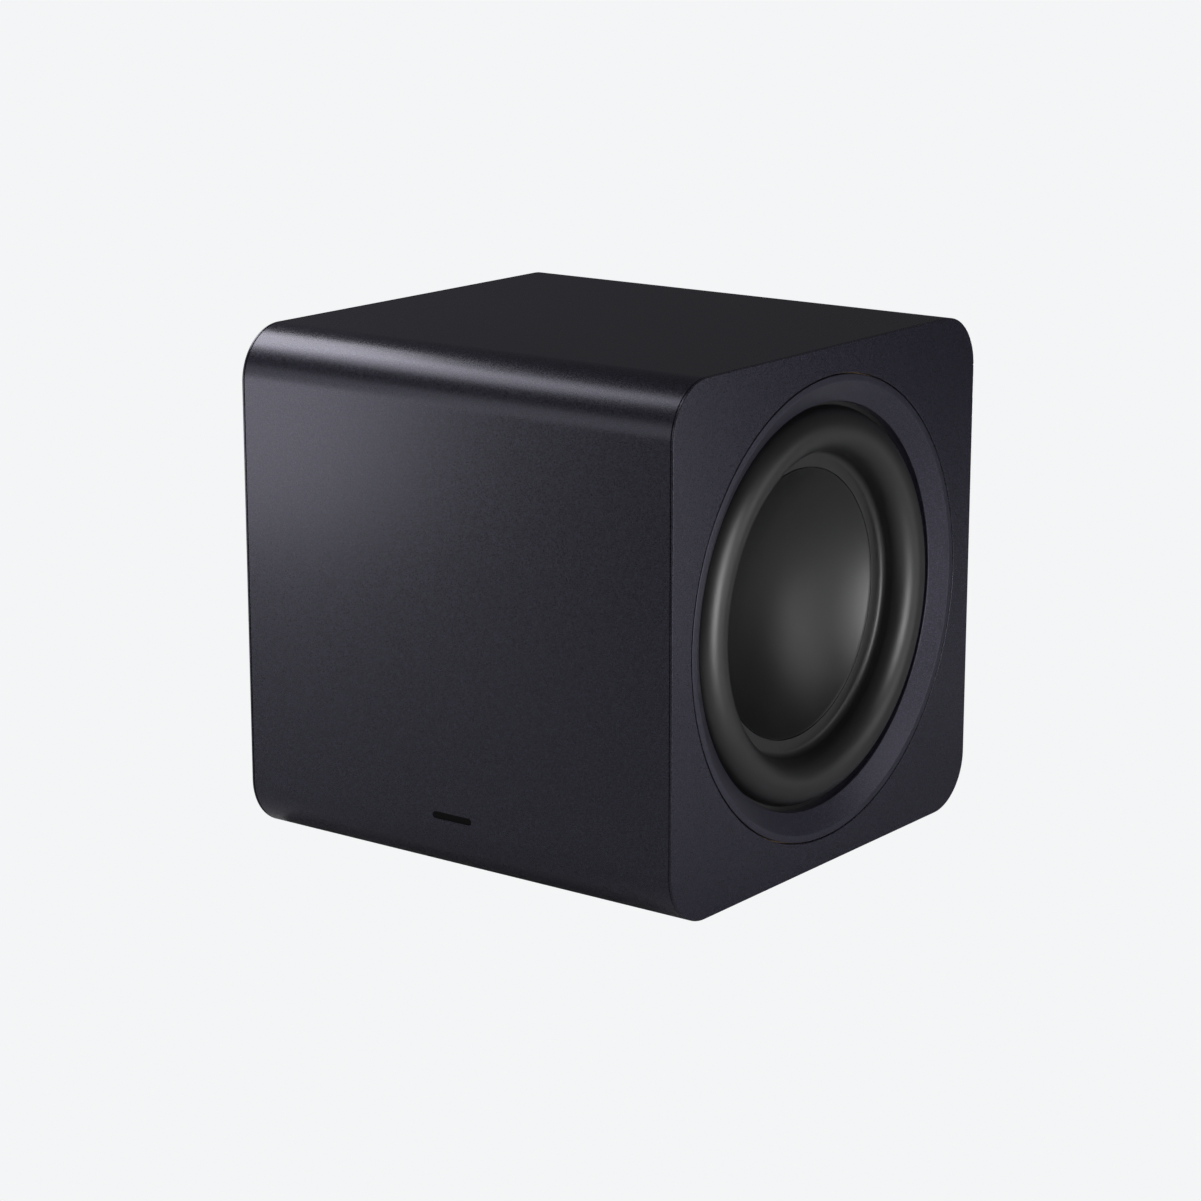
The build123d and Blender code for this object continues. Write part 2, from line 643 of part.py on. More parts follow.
def build_voice_coil(side_name, side):
    """Former tube and the winding on it."""
    with BuildPart() as former:
        with BuildSketch(face_plane(side, former_back)):
            Circle(former_outer_radius)
            Circle(FORMER_RADIUS, mode=Mode.SUBTRACT)
        extrude(amount=neck_front + FORMER_OVERRUN - former_back)
    save(former, f"voice_coil_former_{side_name}")
    with BuildPart() as winding:
        with BuildSketch(face_plane(side, coil_middle - COIL_LENGTH / 2)):
            Circle(coil_outer_radius)
            Circle(former_outer_radius, mode=Mode.SUBTRACT)
        extrude(amount=COIL_LENGTH)
    save(winding, f"voice_coil_{side_name}")


def build_spider(side_name, side):
    """Corrugated cloth disc that centres the voice coil."""
    inner_radius = former_outer_radius + SPIDER_GLUE_GAP
    pitch = (SHELF_INNER_RADIUS - SPIDER_ROLL_START) / SPIDER_ROLLS
    half = SPIDER_THICKNESS / 2
    back = spider_middle - half
    front = spider_middle + half
    with BuildPart() as spider:
        with BuildSketch(profile_plane(side)):
            for number in range(SPIDER_ROLLS):
                middle = SPIDER_ROLL_START + (number + 0.5) * pitch
                keep = Align.MAX if number % 2 == 0 else Align.MIN
                with BuildSketch(mode=Mode.PRIVATE) as roll:
                    with Locations((middle, spider_middle)):
                        Circle(pitch / 2 + half)
                        Circle(pitch / 2 - half, mode=Mode.SUBTRACT)
                        Rectangle(2 * pitch, 2 * pitch, align=(Align.CENTER, keep), mode=Mode.SUBTRACT)
                add(roll.sketch)
            ring_section(SHELF_INNER_RADIUS - half, SPIDER_OUTER_RADIUS, back, front)
            ring_section(inner_radius, SPIDER_ROLL_START + half, back, front)
            ring_section(inner_radius, inner_radius + SPIDER_THICKNESS, back, back + SPIDER_COLLAR_HEIGHT)
        revolve(axis=driver_axis)
    save(spider, f"spider_{side_name}")


def build_motor(side_name, side):
    """Top plate, ring magnet, and yoke with its vented pole."""
    top_bore = coil_outer_radius + COIL_OUTER_GAP
    pole_radius = FORMER_RADIUS - POLE_GAP
    with BuildPart() as top_plate:
        with BuildSketch(face_plane(side, top_plate_back)):
            Circle(TOP_PLATE_RADIUS)
            Circle(top_bore, mode=Mode.SUBTRACT)
        extrude(amount=TOP_PLATE_THICKNESS)
    save(top_plate, f"top_plate_{side_name}")
    with BuildPart() as magnet:
        with BuildSketch(face_plane(side, magnet_back)):
            Circle(MAGNET_RADIUS)
            Circle(MAGNET_BORE_RADIUS, mode=Mode.SUBTRACT)
        extrude(amount=MAGNET_THICKNESS)
        chamfer(magnet.edges().filter_by(GeomType.CIRCLE).group_by(Edge.radius)[-1], 1.5)
    save(magnet, f"magnet_{side_name}")
    with BuildPart() as yoke:
        with BuildSketch(profile_plane(side)):
            ring_section(POLE_VENT_RADIUS, YOKE_RADIUS, yoke_back, magnet_back)
            ring_section(POLE_VENT_RADIUS, pole_radius, yoke_back, basket_floor_back + POLE_RISE)
        revolve(axis=driver_axis)
    save(yoke, f"yoke_{side_name}")


def build_terminals(side_name, side):
    """Terminal strip under the frame's ear with two blades, and the two tinsel leads."""
    strip_inner = SHELF_INNER_RADIUS + BASKET_WALL
    strip_middle = (strip_inner + TERMINAL_EAR_REACH - 1.0) / 2
    strip_back = basket_floor_back - TERMINAL_BOARD_THICKNESS
    with BuildPart() as strip:
        with BuildSketch(face_plane(side, strip_back)):
            with Locations((side * strip_middle, 0)):
                Rectangle(TERMINAL_EAR_REACH - 1.0 - strip_inner, TERMINAL_EAR_WIDTH - 2.0)
        extrude(amount=TERMINAL_BOARD_THICKNESS)
        with BuildSketch(face_plane(side, strip_back)):
            with Locations((side * strip_middle, 0)):
                with GridLocations(1, TERMINAL_SPACING, 1, 2):
                    Rectangle(BLADE_WIDTH, BLADE_THICKNESS)
        extrude(amount=-BLADE_LENGTH)
    save(strip, f"terminal_strip_{side_name}")
    with BuildPart() as tinsel:
        for start_y, start_z in tinsel_places(side):
            reach = abs(start_y)
            path_plane = Plane(origin=(0, 0, driver_z + start_z), x_dir=(0, 1, 0), z_dir=(0, 0, -side))
            rise = neck_front + 5.0
            with BuildLine(path_plane) as path:
                FilletPolyline(
                    (reach, basket_floor_back),
                    (reach, rise + 2.0),
                    (reach - 20.0, rise),
                    (former_outer_radius + 6.0, neck_front - 0.9),
                    radius=7.0,
                )
            with BuildSketch(face_plane(side, basket_floor_back)):
                with Locations((start_y, start_z)):
                    Circle(TINSEL_RADIUS)
            sweep(path=path.wire())
    save(tinsel, f"tinsel_leads_{side_name}")


def build_speaker_lead(side_name, side):
    """Pair of wires from the terminal blades to the amplifier board."""
    strip_inner = SHELF_INNER_RADIUS + BASKET_WALL
    blade_y = (strip_inner + TERMINAL_EAR_REACH - 1.0) / 2
    blade_end = basket_floor_back - TERMINAL_BOARD_THICKNESS - BLADE_LENGTH
    turn_x = min(blade_end, AMP_BOARD_WIDTH / 2) - 14.0
    with BuildPart() as lead:
        for offset in (-TERMINAL_SPACING / 2, TERMINAL_SPACING / 2):
            path_plane = Plane(origin=(0, 0, driver_z + offset), x_dir=(0, 1, 0), z_dir=(0, 0, -side))
            with BuildLine(path_plane) as path:
                bends = [(blade_y, blade_end), (blade_y, turn_x), (amp_board_back, turn_x)]
                FilletPolyline(*bends, radius=6.0)
            with BuildSketch(face_plane(side, blade_end)):
                with Locations((side * blade_y, offset)):
                    Circle(LEAD_RADIUS)
            sweep(path=path.wire())
    save(lead, f"speaker_lead_{side_name}")


# ---------------------------------------------------------------- feet
def build_feet():
    """Four tapered rubber feet, each with a recess for its screw."""
    head_seat = FOOT_HEIGHT - FOOT_SCREW_HEAD_DEPTH
    bore = FOOT_SCREW_SHANK_RADIUS + FIT_CLEARANCE
    recess = FOOT_SCREW_HEAD_RADIUS + 0.4
    with BuildPart() as feet:
        for x in (-foot_x, foot_x):
            for y in (-foot_y, foot_y):
                with BuildSketch(Plane(origin=(x, y, 0), x_dir=(1, 0, 0), z_dir=(0, -1, 0))):
                    with BuildLine():
                        Polyline(
                            (recess, 0),
                            (FOOT_RADIUS - FOOT_TAPER, 0),
                            (FOOT_RADIUS, FOOT_HEIGHT),
                            (bore, FOOT_HEIGHT),
                            (bore, head_seat),
                            (recess, head_seat),
                            close=True,
                        )
                    make_face()
                revolve(axis=Axis((x, y, 0), (0, 0, 1)))
    save(feet, "feet")


def build_foot_screws():
    """One screw in each foot."""
    head_seat = FOOT_HEIGHT - FOOT_SCREW_HEAD_DEPTH
    with BuildPart() as screws:
        with BuildSketch(Plane.XY.offset(head_seat)):
            with GridLocations(2 * foot_x, 2 * foot_y, 2, 2):
                Circle(FOOT_SCREW_HEAD_RADIUS)
        extrude(amount=-FOOT_SCREW_HEAD_HEIGHT)
        with BuildSketch(Plane.XY.offset(head_seat)):
            with GridLocations(2 * foot_x, 2 * foot_y, 2, 2):
                Circle(FOOT_SCREW_SHANK_RADIUS)
        extrude(amount=FOOT_SCREW_LENGTH)
    save(screws, "foot_screws")


# ---------------------------------------------------------------- rear panel
def build_rear_panel():
    """Panel set back into the wrap, with openings for the inlet, the button and the lens."""
    with BuildPart() as panel:
        with BuildSketch(rear_plane(panel_inside)):
            RectangleRounded(REAR_PANEL_WIDTH, REAR_PANEL_HEIGHT, REAR_PANEL_CORNER)
        extrude(amount=REAR_PANEL_THICKNESS)
        front = panel.faces().sort_by(Axis.Y)[-1]
        chamfer(front.edges(), TRIM_EDGE_CHAMFER)
        with BuildSketch(rear_plane(panel_inside)):
            with Locations(*rear(rear_screw_places)):
                Circle(REAR_SCREW_SHANK_RADIUS + 2 * FIT_CLEARANCE)
            with Locations(*rear([inlet_place])):
                Rectangle(INLET_BODY_WIDTH + 2 * FIT_CLEARANCE, INLET_BODY_HEIGHT + 2 * FIT_CLEARANCE)
            with Locations(*rear([(BUTTON_X, BUTTON_RISE)])):
                Circle(BUTTON_RADIUS + BUTTON_CLEARANCE)
            with Locations(*rear([(LENS_X, BUTTON_RISE)])):
                Circle(LENS_RADIUS + FIT_CLEARANCE)
        extrude(amount=REAR_PANEL_THICKNESS, mode=Mode.SUBTRACT)
    save(panel, "rear_panel")


def build_rear_gasket():
    """Foam frame between the rear panel and its ledge."""
    with BuildPart() as gasket:
        with BuildSketch(rear_plane(ledge_face)):
            RectangleRounded(REAR_PANEL_WIDTH, REAR_PANEL_HEIGHT, REAR_PANEL_CORNER)
            Rectangle(opening_width, opening_height, mode=Mode.SUBTRACT)
            with Locations(*rear(rear_screw_places)):
                Circle(REAR_SCREW_SHANK_RADIUS + 2 * FIT_CLEARANCE, mode=Mode.SUBTRACT)
        extrude(amount=REAR_GASKET_THICKNESS)
    save(gasket, "rear_gasket")


def build_rear_screws():
    """Screws round the rear panel, with a cross recess in each head."""
    with BuildPart() as screws:
        with BuildSketch(rear_plane(panel_face)):
            with Locations(*rear(rear_screw_places)):
                Circle(REAR_SCREW_HEAD_RADIUS)
        extrude(amount=REAR_SCREW_HEAD_HEIGHT)
        heads = screws.faces().sort_by(Axis.Y)[-len(rear_screw_places) :]
        fillet(heads.edges(), REAR_SCREW_HEAD_HEIGHT / 2)
        with BuildSketch(rear_plane(panel_face)):
            with Locations(*rear(rear_screw_places)):
                Circle(REAR_SCREW_SHANK_RADIUS)
        extrude(amount=-REAR_SCREW_LENGTH)
        with BuildSketch(rear_plane(panel_face + REAR_SCREW_HEAD_HEIGHT)):
            with Locations(*rear(rear_screw_places)):
                Rectangle(REAR_SCREW_HEAD_RADIUS, REAR_SCREW_HEAD_RADIUS / 4)
                Rectangle(REAR_SCREW_HEAD_RADIUS / 4, REAR_SCREW_HEAD_RADIUS)
        extrude(amount=-REAR_SCREW_HEAD_HEIGHT * 0.7, mode=Mode.SUBTRACT)
    save(screws, "rear_screws")


def build_mains_inlet():
    """Two-pin inlet with a figure-eight socket, and its pins."""
    with BuildPart() as inlet:
        with BuildSketch(rear_plane(panel_face)):
            with Locations(*rear([inlet_place])):
                RectangleRounded(INLET_FLANGE_WIDTH, INLET_FLANGE_HEIGHT, 2.5)
        extrude(amount=INLET_FLANGE_THICKNESS)
        with BuildSketch(rear_plane(inlet_back)):
            with Locations(*rear([inlet_place])):
                Rectangle(INLET_BODY_WIDTH, INLET_BODY_HEIGHT)
        extrude(amount=INLET_BODY_DEPTH)
        with BuildSketch(rear_plane(panel_face + INLET_FLANGE_THICKNESS)):
            with Locations(*rear([inlet_place])):
                Rectangle(INLET_LOBE_SPACING, INLET_WAIST)
                with GridLocations(INLET_LOBE_SPACING, 1, 2, 1):
                    Circle(INLET_LOBE_RADIUS)
        extrude(amount=-INLET_SOCKET_DEPTH, mode=Mode.SUBTRACT)
        with BuildSketch(rear_plane(inlet_back)):
            with Locations(*rear([inlet_place])):
                with GridLocations(INLET_PIN_SPACING, 1, 2, 1):
                    Circle(INLET_PIN_RADIUS + FIT_CLEARANCE)
        extrude(amount=INLET_BODY_DEPTH, mode=Mode.SUBTRACT)
    save(inlet, "mains_inlet")
    with BuildPart() as pins:
        with BuildSketch(rear_plane(amp_board_front)):
            with Locations(*rear([inlet_place])):
                with GridLocations(INLET_PIN_SPACING, 1, 2, 1):
                    Circle(INLET_PIN_RADIUS)
        extrude(amount=panel_face + INLET_FLANGE_THICKNESS - INLET_PIN_SETBACK - amp_board_front)
        tips = pins.faces().sort_by(Axis.Y)[-2:]
        chamfer(tips.edges(), INLET_PIN_RADIUS / 3)
    save(pins, "inlet_pins")


def build_button():
    """Pairing button, the switch's actuator that it presses, and the switch."""
    place = rear([(BUTTON_X, BUTTON_RISE)])
    flange_top = panel_inside - BUTTON_CLEARANCE
    stem_top = flange_top - BUTTON_FLANGE_THICKNESS
    stem_end = stem_top - BUTTON_STEM_LENGTH
    with BuildPart() as button:
        with BuildSketch(rear_plane(flange_top)):
            with Locations(*place):
                Circle(BUTTON_RADIUS)
        extrude(amount=panel_face + BUTTON_PROUD - flange_top)
        fillet(button.faces().sort_by(Axis.Y)[-1].edges(), BUTTON_PROUD / 2)
        with BuildSketch(rear_plane(stem_top)):
            with Locations(*place):
                Circle(BUTTON_RADIUS + BUTTON_FLANGE)
        extrude(amount=BUTTON_FLANGE_THICKNESS)
        with BuildSketch(rear_plane(stem_end)):
            with Locations(*place):
                Circle(BUTTON_STEM_RADIUS)
        extrude(amount=BUTTON_STEM_LENGTH)
    save(button, "pairing_button")
    with BuildPart() as actuator:
        with BuildSketch(rear_plane(stem_end - ACTUATOR_LENGTH)):
            with Locations(*place):
                Circle(ACTUATOR_RADIUS)
        extrude(amount=ACTUATOR_LENGTH)
    save(actuator, "switch_actuator")
    with BuildPart() as switch:
        with BuildSketch(rear_plane(control_board_front)):
            with Locations(*place):
                Rectangle(SWITCH_SIZE, SWITCH_SIZE)
        extrude(amount=SWITCH_HEIGHT)
        with BuildSketch(rear_plane(switch_top)):
            with Locations(*place):
                Circle(ACTUATOR_RADIUS + BUTTON_CLEARANCE)
        extrude(amount=-(SWITCH_OVERLAP + 2 * BUTTON_TRAVEL), mode=Mode.SUBTRACT)
    save(switch, "tact_switch")


def build_status_light():
    """Light pipe in the rear panel and the small lamp behind it."""
    place = rear([(LENS_X, BUTTON_RISE)])
    with BuildPart() as led:
        with BuildSketch(rear_plane(control_board_front)):
            with Locations(*place):
                Rectangle(LED_SIZE, LED_SIZE)
        extrude(amount=LED_HEIGHT)
    save(led, "status_led")
    lens_back = control_board_front + LED_HEIGHT + 2 * BUTTON_CLEARANCE
    with BuildPart() as lens:
        with BuildSketch(rear_plane(lens_back)):
            with Locations(*place):
                Circle(LENS_RADIUS)
        extrude(amount=panel_face + LENS_PROUD - lens_back)
        fillet(lens.faces().sort_by(Axis.Y)[-1].edges(), LENS_PROUD)
    save(lens, "status_lens")


# ---------------------------------------------------------------- electronics
def build_boards():
    """Control board behind the button and the large amplifier board on long standoffs."""
    with BuildPart() as control:
        with BuildSketch(rear_plane(control_board_back)):
            with Locations(*rear([(CONTROL_BOARD_X, BUTTON_RISE)])):
                Rectangle(CONTROL_BOARD_WIDTH, CONTROL_BOARD_HEIGHT)
            with Locations(*rear(control_hole_places)):
                Circle(BOARD_HOLE_RADIUS, mode=Mode.SUBTRACT)
        extrude(amount=BOARD_THICKNESS)
    save(control, "control_board")
    with BuildPart() as amplifier:
        with BuildSketch(rear_plane(amp_board_back)):
            Rectangle(AMP_BOARD_WIDTH, AMP_BOARD_HEIGHT)
            with Locations(*rear(amp_hole_places)):
                Circle(BOARD_HOLE_RADIUS, mode=Mode.SUBTRACT)
        extrude(amount=BOARD_THICKNESS)
    save(amplifier, "amplifier_board")


def build_standoffs():
    """Hollow standoffs between the rear panel and both boards, and the screws in them."""
    runs = [(amp_hole_places, amp_board_front), (control_hole_places, control_board_front)]
    with BuildPart() as standoffs:
        for places, board_front in runs:
            with BuildSketch(rear_plane(board_front)):
                with Locations(*rear(places)):
                    Circle(STANDOFF_RADIUS)
                    Circle(STANDOFF_BORE_RADIUS, mode=Mode.SUBTRACT)
            extrude(amount=panel_inside - board_front)
    save(standoffs, "board_standoffs")
    with BuildPart() as screws:
        for places, board_front in runs:
            board_back = board_front - BOARD_THICKNESS
            with BuildSketch(rear_plane(board_back)):
                with Locations(*rear(places)):
                    Circle(BOARD_SCREW_HEAD_RADIUS)
            extrude(amount=-BOARD_SCREW_HEAD_HEIGHT)
            with BuildSketch(rear_plane(board_back)):
                with Locations(*rear(places)):
                    Circle(BOARD_SCREW_SHANK_RADIUS)
            extrude(amount=BOARD_SCREW_LENGTH)
    save(screws, "board_screws")


def build_transformer():
    """Laminated core with two windows, and the winding round its middle leg."""
    core_width, core_height, core_depth = 40.0, 34.0, 20.0
    leg, window_width = 7.0, 6.0
    place = rear([(-6.0, -22.0)])
    core_front = amp_board_back
    with BuildPart() as core:
        with BuildSketch(rear_plane(core_front)):
            with Locations(*place):
                Rectangle(core_width, core_height)
        extrude(amount=-core_depth)
        with BuildSketch(rear_plane(core_front)):
            with Locations(*place):
                with GridLocations(core_width - 2 * leg - window_width, 1, 2, 1):
                    Rectangle(window_width, core_height - 2 * leg, mode=Mode.ADD)
        extrude(amount=-core_depth, mode=Mode.SUBTRACT)
    save(core, "transformer_core")
    winding_width = core_width - 2 * leg - 0.4
    winding_height = core_height - 2 * leg - 0.4
    middle_leg = core_width - 2 * leg - 2 * window_width
    with BuildPart() as winding:
        with BuildSketch(rear_plane(core_front - 0.4)):
            with Locations(*place):
                Rectangle(winding_width, winding_height)
                Rectangle(middle_leg + 0.4, winding_height, mode=Mode.SUBTRACT)
        extrude(amount=-(core_depth - 0.8))
    save(winding, "transformer_winding")


def build_power_parts():
    """Capacitors, inductors, finned heatsink and the wireless module on the amplifier board."""
    with BuildPart() as capacitors:
        with BuildSketch(rear_plane(amp_board_back)):
            with Locations(*rear([(28.0, -34.0), (28.0, -12.0)])):
                Circle(9.0)
        extrude(amount=-26.0)
        chamfer(capacitors.faces().sort_by(Axis.Y)[:2].edges(), 1.0)
    save(capacitors, "filter_capacitors")
    with BuildPart() as inductors:
        with BuildSketch(rear_plane(amp_board_back)):
            with Locations(*rear([(-46.0, -30.0), (-46.0, -6.0), (48.0, -30.0), (48.0, -6.0)])):
                Circle(8.5)
                Circle(4.0, mode=Mode.SUBTRACT)
        extrude(amount=-9.0)
        fillet(inductors.edges().filter_by(GeomType.CIRCLE).group_by(Axis.Y)[0], 1.5)
    save(inductors, "output_inductors")
    with BuildPart() as heatsink:
        with BuildSketch(rear_plane(amp_board_back)):
            with Locations(*rear([(0.0, 26.0)])):
                Rectangle(52.0, 30.0)
        extrude(amount=-4.0)
        with BuildSketch(rear_plane(amp_board_back - 4.0)):
            with Locations(*rear([(0.0, 26.0)])):
                with GridLocations(5.5, 1, 10, 1):
                    Rectangle(1.6, 30.0)
        extrude(amount=-18.0)
    save(heatsink, "heatsink")
    with BuildPart() as wireless:
        with BuildSketch(rear_plane(amp_board_front)):
            with Locations(*rear([(-28.0, 26.0)])):
                Rectangle(34.0, 22.0)
        extrude(amount=1.0)
        with BuildSketch(rear_plane(amp_board_front + 1.0)):
            with Locations(*rear([(-31.0, 26.0)])):
                Rectangle(22.0, 17.0)
        extrude(amount=2.4)
    save(wireless, "wireless_module")


build_cabinet_wrap()
build_front_bar()
for side_name, side in SIDES.items():
    build_side_panel(side_name, side)
    build_baffle(side_name, side)
    build_trim_ring(side_name, side)
    build_frame(side_name, side)
    build_frame_gasket(side_name, side)
    build_surround(side_name, side)
    build_cone(side_name, side)
    build_dish(side_name, side)
    build_voice_coil(side_name, side)
    build_spider(side_name, side)
    build_motor(side_name, side)
    build_terminals(side_name, side)
    build_speaker_lead(side_name, side)
build_driver_screws()
build_feet()
build_foot_screws()
build_rear_panel()
build_rear_gasket()
build_rear_screws()
build_mains_inlet()
build_button()
build_status_light()
build_boards()
build_standoffs()
build_transformer()
build_power_parts()
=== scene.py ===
"""Looks of a cube subwoofer with a mirrored driver on each side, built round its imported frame.

Lengths are in metres in the frame's own axes: +X is right, -Y is the front and +Z is up.
A driver's sizes are a radius about its axis and a distance out from the cabinet's middle.
"""

from __future__ import annotations

import json
import logging
import math
from dataclasses import dataclass
from enum import Enum
from typing import Callable, NamedTuple, Optional, Sequence, Union

import bmesh
import bpy
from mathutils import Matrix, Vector

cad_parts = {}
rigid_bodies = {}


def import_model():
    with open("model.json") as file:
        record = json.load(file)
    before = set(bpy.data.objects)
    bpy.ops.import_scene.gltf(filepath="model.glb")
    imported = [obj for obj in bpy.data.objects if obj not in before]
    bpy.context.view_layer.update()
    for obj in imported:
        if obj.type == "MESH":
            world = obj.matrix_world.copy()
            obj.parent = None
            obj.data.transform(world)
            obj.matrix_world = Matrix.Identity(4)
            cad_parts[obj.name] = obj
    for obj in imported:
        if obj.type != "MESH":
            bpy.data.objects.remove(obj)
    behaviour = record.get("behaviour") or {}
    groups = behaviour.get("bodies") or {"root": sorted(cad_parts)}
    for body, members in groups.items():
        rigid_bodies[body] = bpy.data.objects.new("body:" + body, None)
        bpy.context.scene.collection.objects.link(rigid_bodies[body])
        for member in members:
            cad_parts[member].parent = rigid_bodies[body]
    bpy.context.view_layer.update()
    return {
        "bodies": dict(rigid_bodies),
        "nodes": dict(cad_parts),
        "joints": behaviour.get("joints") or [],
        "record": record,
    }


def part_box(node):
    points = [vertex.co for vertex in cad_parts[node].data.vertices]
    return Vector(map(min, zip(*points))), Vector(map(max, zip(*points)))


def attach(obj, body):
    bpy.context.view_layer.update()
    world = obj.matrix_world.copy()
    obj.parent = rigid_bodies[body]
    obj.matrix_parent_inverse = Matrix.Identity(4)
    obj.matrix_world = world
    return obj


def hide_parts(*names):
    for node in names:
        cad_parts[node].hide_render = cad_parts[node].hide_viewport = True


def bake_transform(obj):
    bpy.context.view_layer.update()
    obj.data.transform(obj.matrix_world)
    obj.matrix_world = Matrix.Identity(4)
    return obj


LOG = logging.getLogger("subwoofer")
MM = 0.001
MERGE_DISTANCE = 1e-7
SAME_PLACE = 1e-6
GLUE_LINE = 0.05 * MM
SLOT_SEGMENTS = 8  # facets in each corner of a small rounded rectangle
CABINET_BODY = "cabinet"
BUTTON_BODY = "button"
Colour = tuple[float, float, float]


class Side(Enum):
    """The two sides of the cabinet, as the sign of the way out along X."""

    RIGHT = 1
    LEFT = -1

    @property
    def label(self) -> str:
        """The side's name as it stands in node and body names."""
        return self.name.lower()


# ------------------------------------------------------------------------------ shader sums
class Term:
    """One shader value that adds, multiplies and compares as a Python number does."""

    def __init__(self, tree: "NodeTree", socket: bpy.types.NodeSocket) -> None:
        """Wrap a socket of a node tree.

        Args:
            tree: the tree that the socket belongs to.
            socket: the output socket that carries the value.
        """
        self.tree = tree
        self.socket = socket

    def _sum(self, operation: str, first: "Number", second: "Number") -> "Term":
        """Add one Math node for an operation on two values and return its result."""
        node = self.tree.node("ShaderNodeMath", {"operation": operation}, {0: first, 1: second})
        return Term(self.tree, node.outputs[0])

    def __add__(self, other: "Number") -> "Term":
        """Return self + other."""
        return self._sum("ADD", self, other)

    def __sub__(self, other: "Number") -> "Term":
        """Return self - other."""
        return self._sum("SUBTRACT", self, other)

    def __rsub__(self, other: "Number") -> "Term":
        """Return other - self."""
        return self._sum("SUBTRACT", other, self)

    def __mul__(self, other: "Number") -> "Term":
        """Return self * other."""
        return self._sum("MULTIPLY", self, other)

    def __gt__(self, other: "Number") -> "Term":
        """Return 1 where self is above other and 0 elsewhere."""
        return self._sum("GREATER_THAN", self, other)

    def wave(self) -> "Term":
        """Return the sine of self."""
        return self._sum("SINE", self, 0.0)


Number = Union[Term, float]


class NodeTree:
    """A material's node tree, with one method that adds any node."""

    def __init__(self, name: str) -> None:
        """Start an empty material.

        Args:
            name: the material's name.
        """
        self.material = bpy.data.materials.new(name)
        self.material.use_nodes = True
        self.nodes = self.material.node_tree.nodes
        self.links = self.material.node_tree.links
        self.nodes.clear()
        self._place: Optional[bpy.types.NodeSocket] = None

    def node(self, kind: str, settings: dict, sockets: dict) -> bpy.types.Node:
        """Add a node, set it up and fill its sockets.

        Args:
            kind: the node's type.
            settings: its own settings, set first; "stops" holds a ramp's (position, colour) pairs.
            sockets: values, colours or links by input socket name or number.

        Returns:
            The new node.
        """
        made = self.nodes.new(kind)
        for name, value in settings.items():
            if name == "stops":
                self._set_stops(made.color_ramp, value)
            else:
                setattr(made, name, value)
        for key, value in sockets.items():
            if isinstance(value, Term):
                value = value.socket
            if isinstance(value, bpy.types.NodeSocket):
                self.links.new(value, made.inputs[key])
            elif isinstance(value, tuple) and made.inputs[key].type == "RGBA":
                made.inputs[key].default_value = (*value[:3], 1.0)
            else:
                made.inputs[key].default_value = value
        return made

    @staticmethod
    def _set_stops(ramp: bpy.types.ColorRamp, stops: Sequence[tuple[float, Colour]]) -> None:
        """Give a colour ramp exactly these stops."""
        while len(ramp.elements) > len(stops):
            ramp.elements.remove(ramp.elements[-1])
        while len(ramp.elements) < len(stops):
            ramp.elements.new(1.0)
        for element, (position, colour) in zip(ramp.elements, stops):
            element.position = position
            element.color = (*colour, 1.0)

    @property
    def place(self) -> bpy.types.NodeSocket:
        """Object coordinates, from one shared node."""
        if self._place is None:
            self._place = self.node("ShaderNodeTexCoord", {}, {}).outputs["Object"]
        return self._place

    def noise(self, scale: float, detail: float = 2.0, stretch: Optional[Colour] = None) -> Term:
        """Return fractal noise from 0 to 1 over the piece.

        Args:
            scale: waves to a metre.
            detail: octaves.
            stretch: scale along each axis, or None for the same all round.

        Returns:
            The noise as a term.
        """
        place = self.place
        if stretch is not None:
            place = self.node("ShaderNodeMapping", {}, {"Vector": place, "Scale": stretch}).outputs[0]
        settings = {"noise_dimensions": "3D"}
        sockets = {"Vector": place, "Scale": scale, "Detail": detail}
        return Term(self, self.node("ShaderNodeTexNoise", settings, sockets).outputs[0])

    def cells(self, scale: float) -> Term:
        """Return one random number from 0 to 1 for each small cell of the piece."""
        node = self.node("ShaderNodeTexVoronoi", {"feature": "F1"}, {"Vector": self.place, "Scale": scale})
        apart = self.node("ShaderNodeSeparateColor", {}, {0: node.outputs["Color"]})
        return Term(self, apart.outputs[0])

    def axis(self, name: str) -> Term:
        """Return one coordinate of the place, in metres."""
        apart = self.node("ShaderNodeSeparateXYZ", {}, {0: self.place})
        return Term(self, apart.outputs[name])

    def ramp(self, value: Term, stops: Sequence[tuple[float, Colour]]) -> bpy.types.NodeSocket:
        """Return a colour that runs between stops as value runs from 0 to 1."""
        return self.node("ShaderNodeValToRGB", {"stops": stops}, {0: value}).outputs[0]

    def between(self, low: float, high: float, value: Term) -> Term:
        """Return value from 0 to 1 run from low to high, held at both ends."""
        node = self.node("ShaderNodeMapRange", {}, {"Value": value, "To Min": low, "To Max": high})
        return Term(self, node.outputs[0])

    def bump(self, height: Term, depth: float) -> bpy.types.NodeSocket:
        """Return a normal for a height from 0 to 1 that stands up to depth metres."""
        sockets = {"Height": height, "Distance": depth, "Strength": 1.0}
        return self.node("ShaderNodeBump", {}, sockets).outputs[0]

    def finish(self, sockets: dict) -> bpy.types.Material:
        """Close the tree with a Principled surface and return the material."""
        surface = self.node("ShaderNodeBsdfPrincipled", {}, sockets)
        self.node("ShaderNodeOutputMaterial", {}, {"Surface": surface.outputs[0]})
        return self.material


def shade(colour: Colour, factor: float) -> Colour:
    """Return a colour made darker or lighter by a factor."""
    return tuple(min(1.0, part * factor) for part in colour)


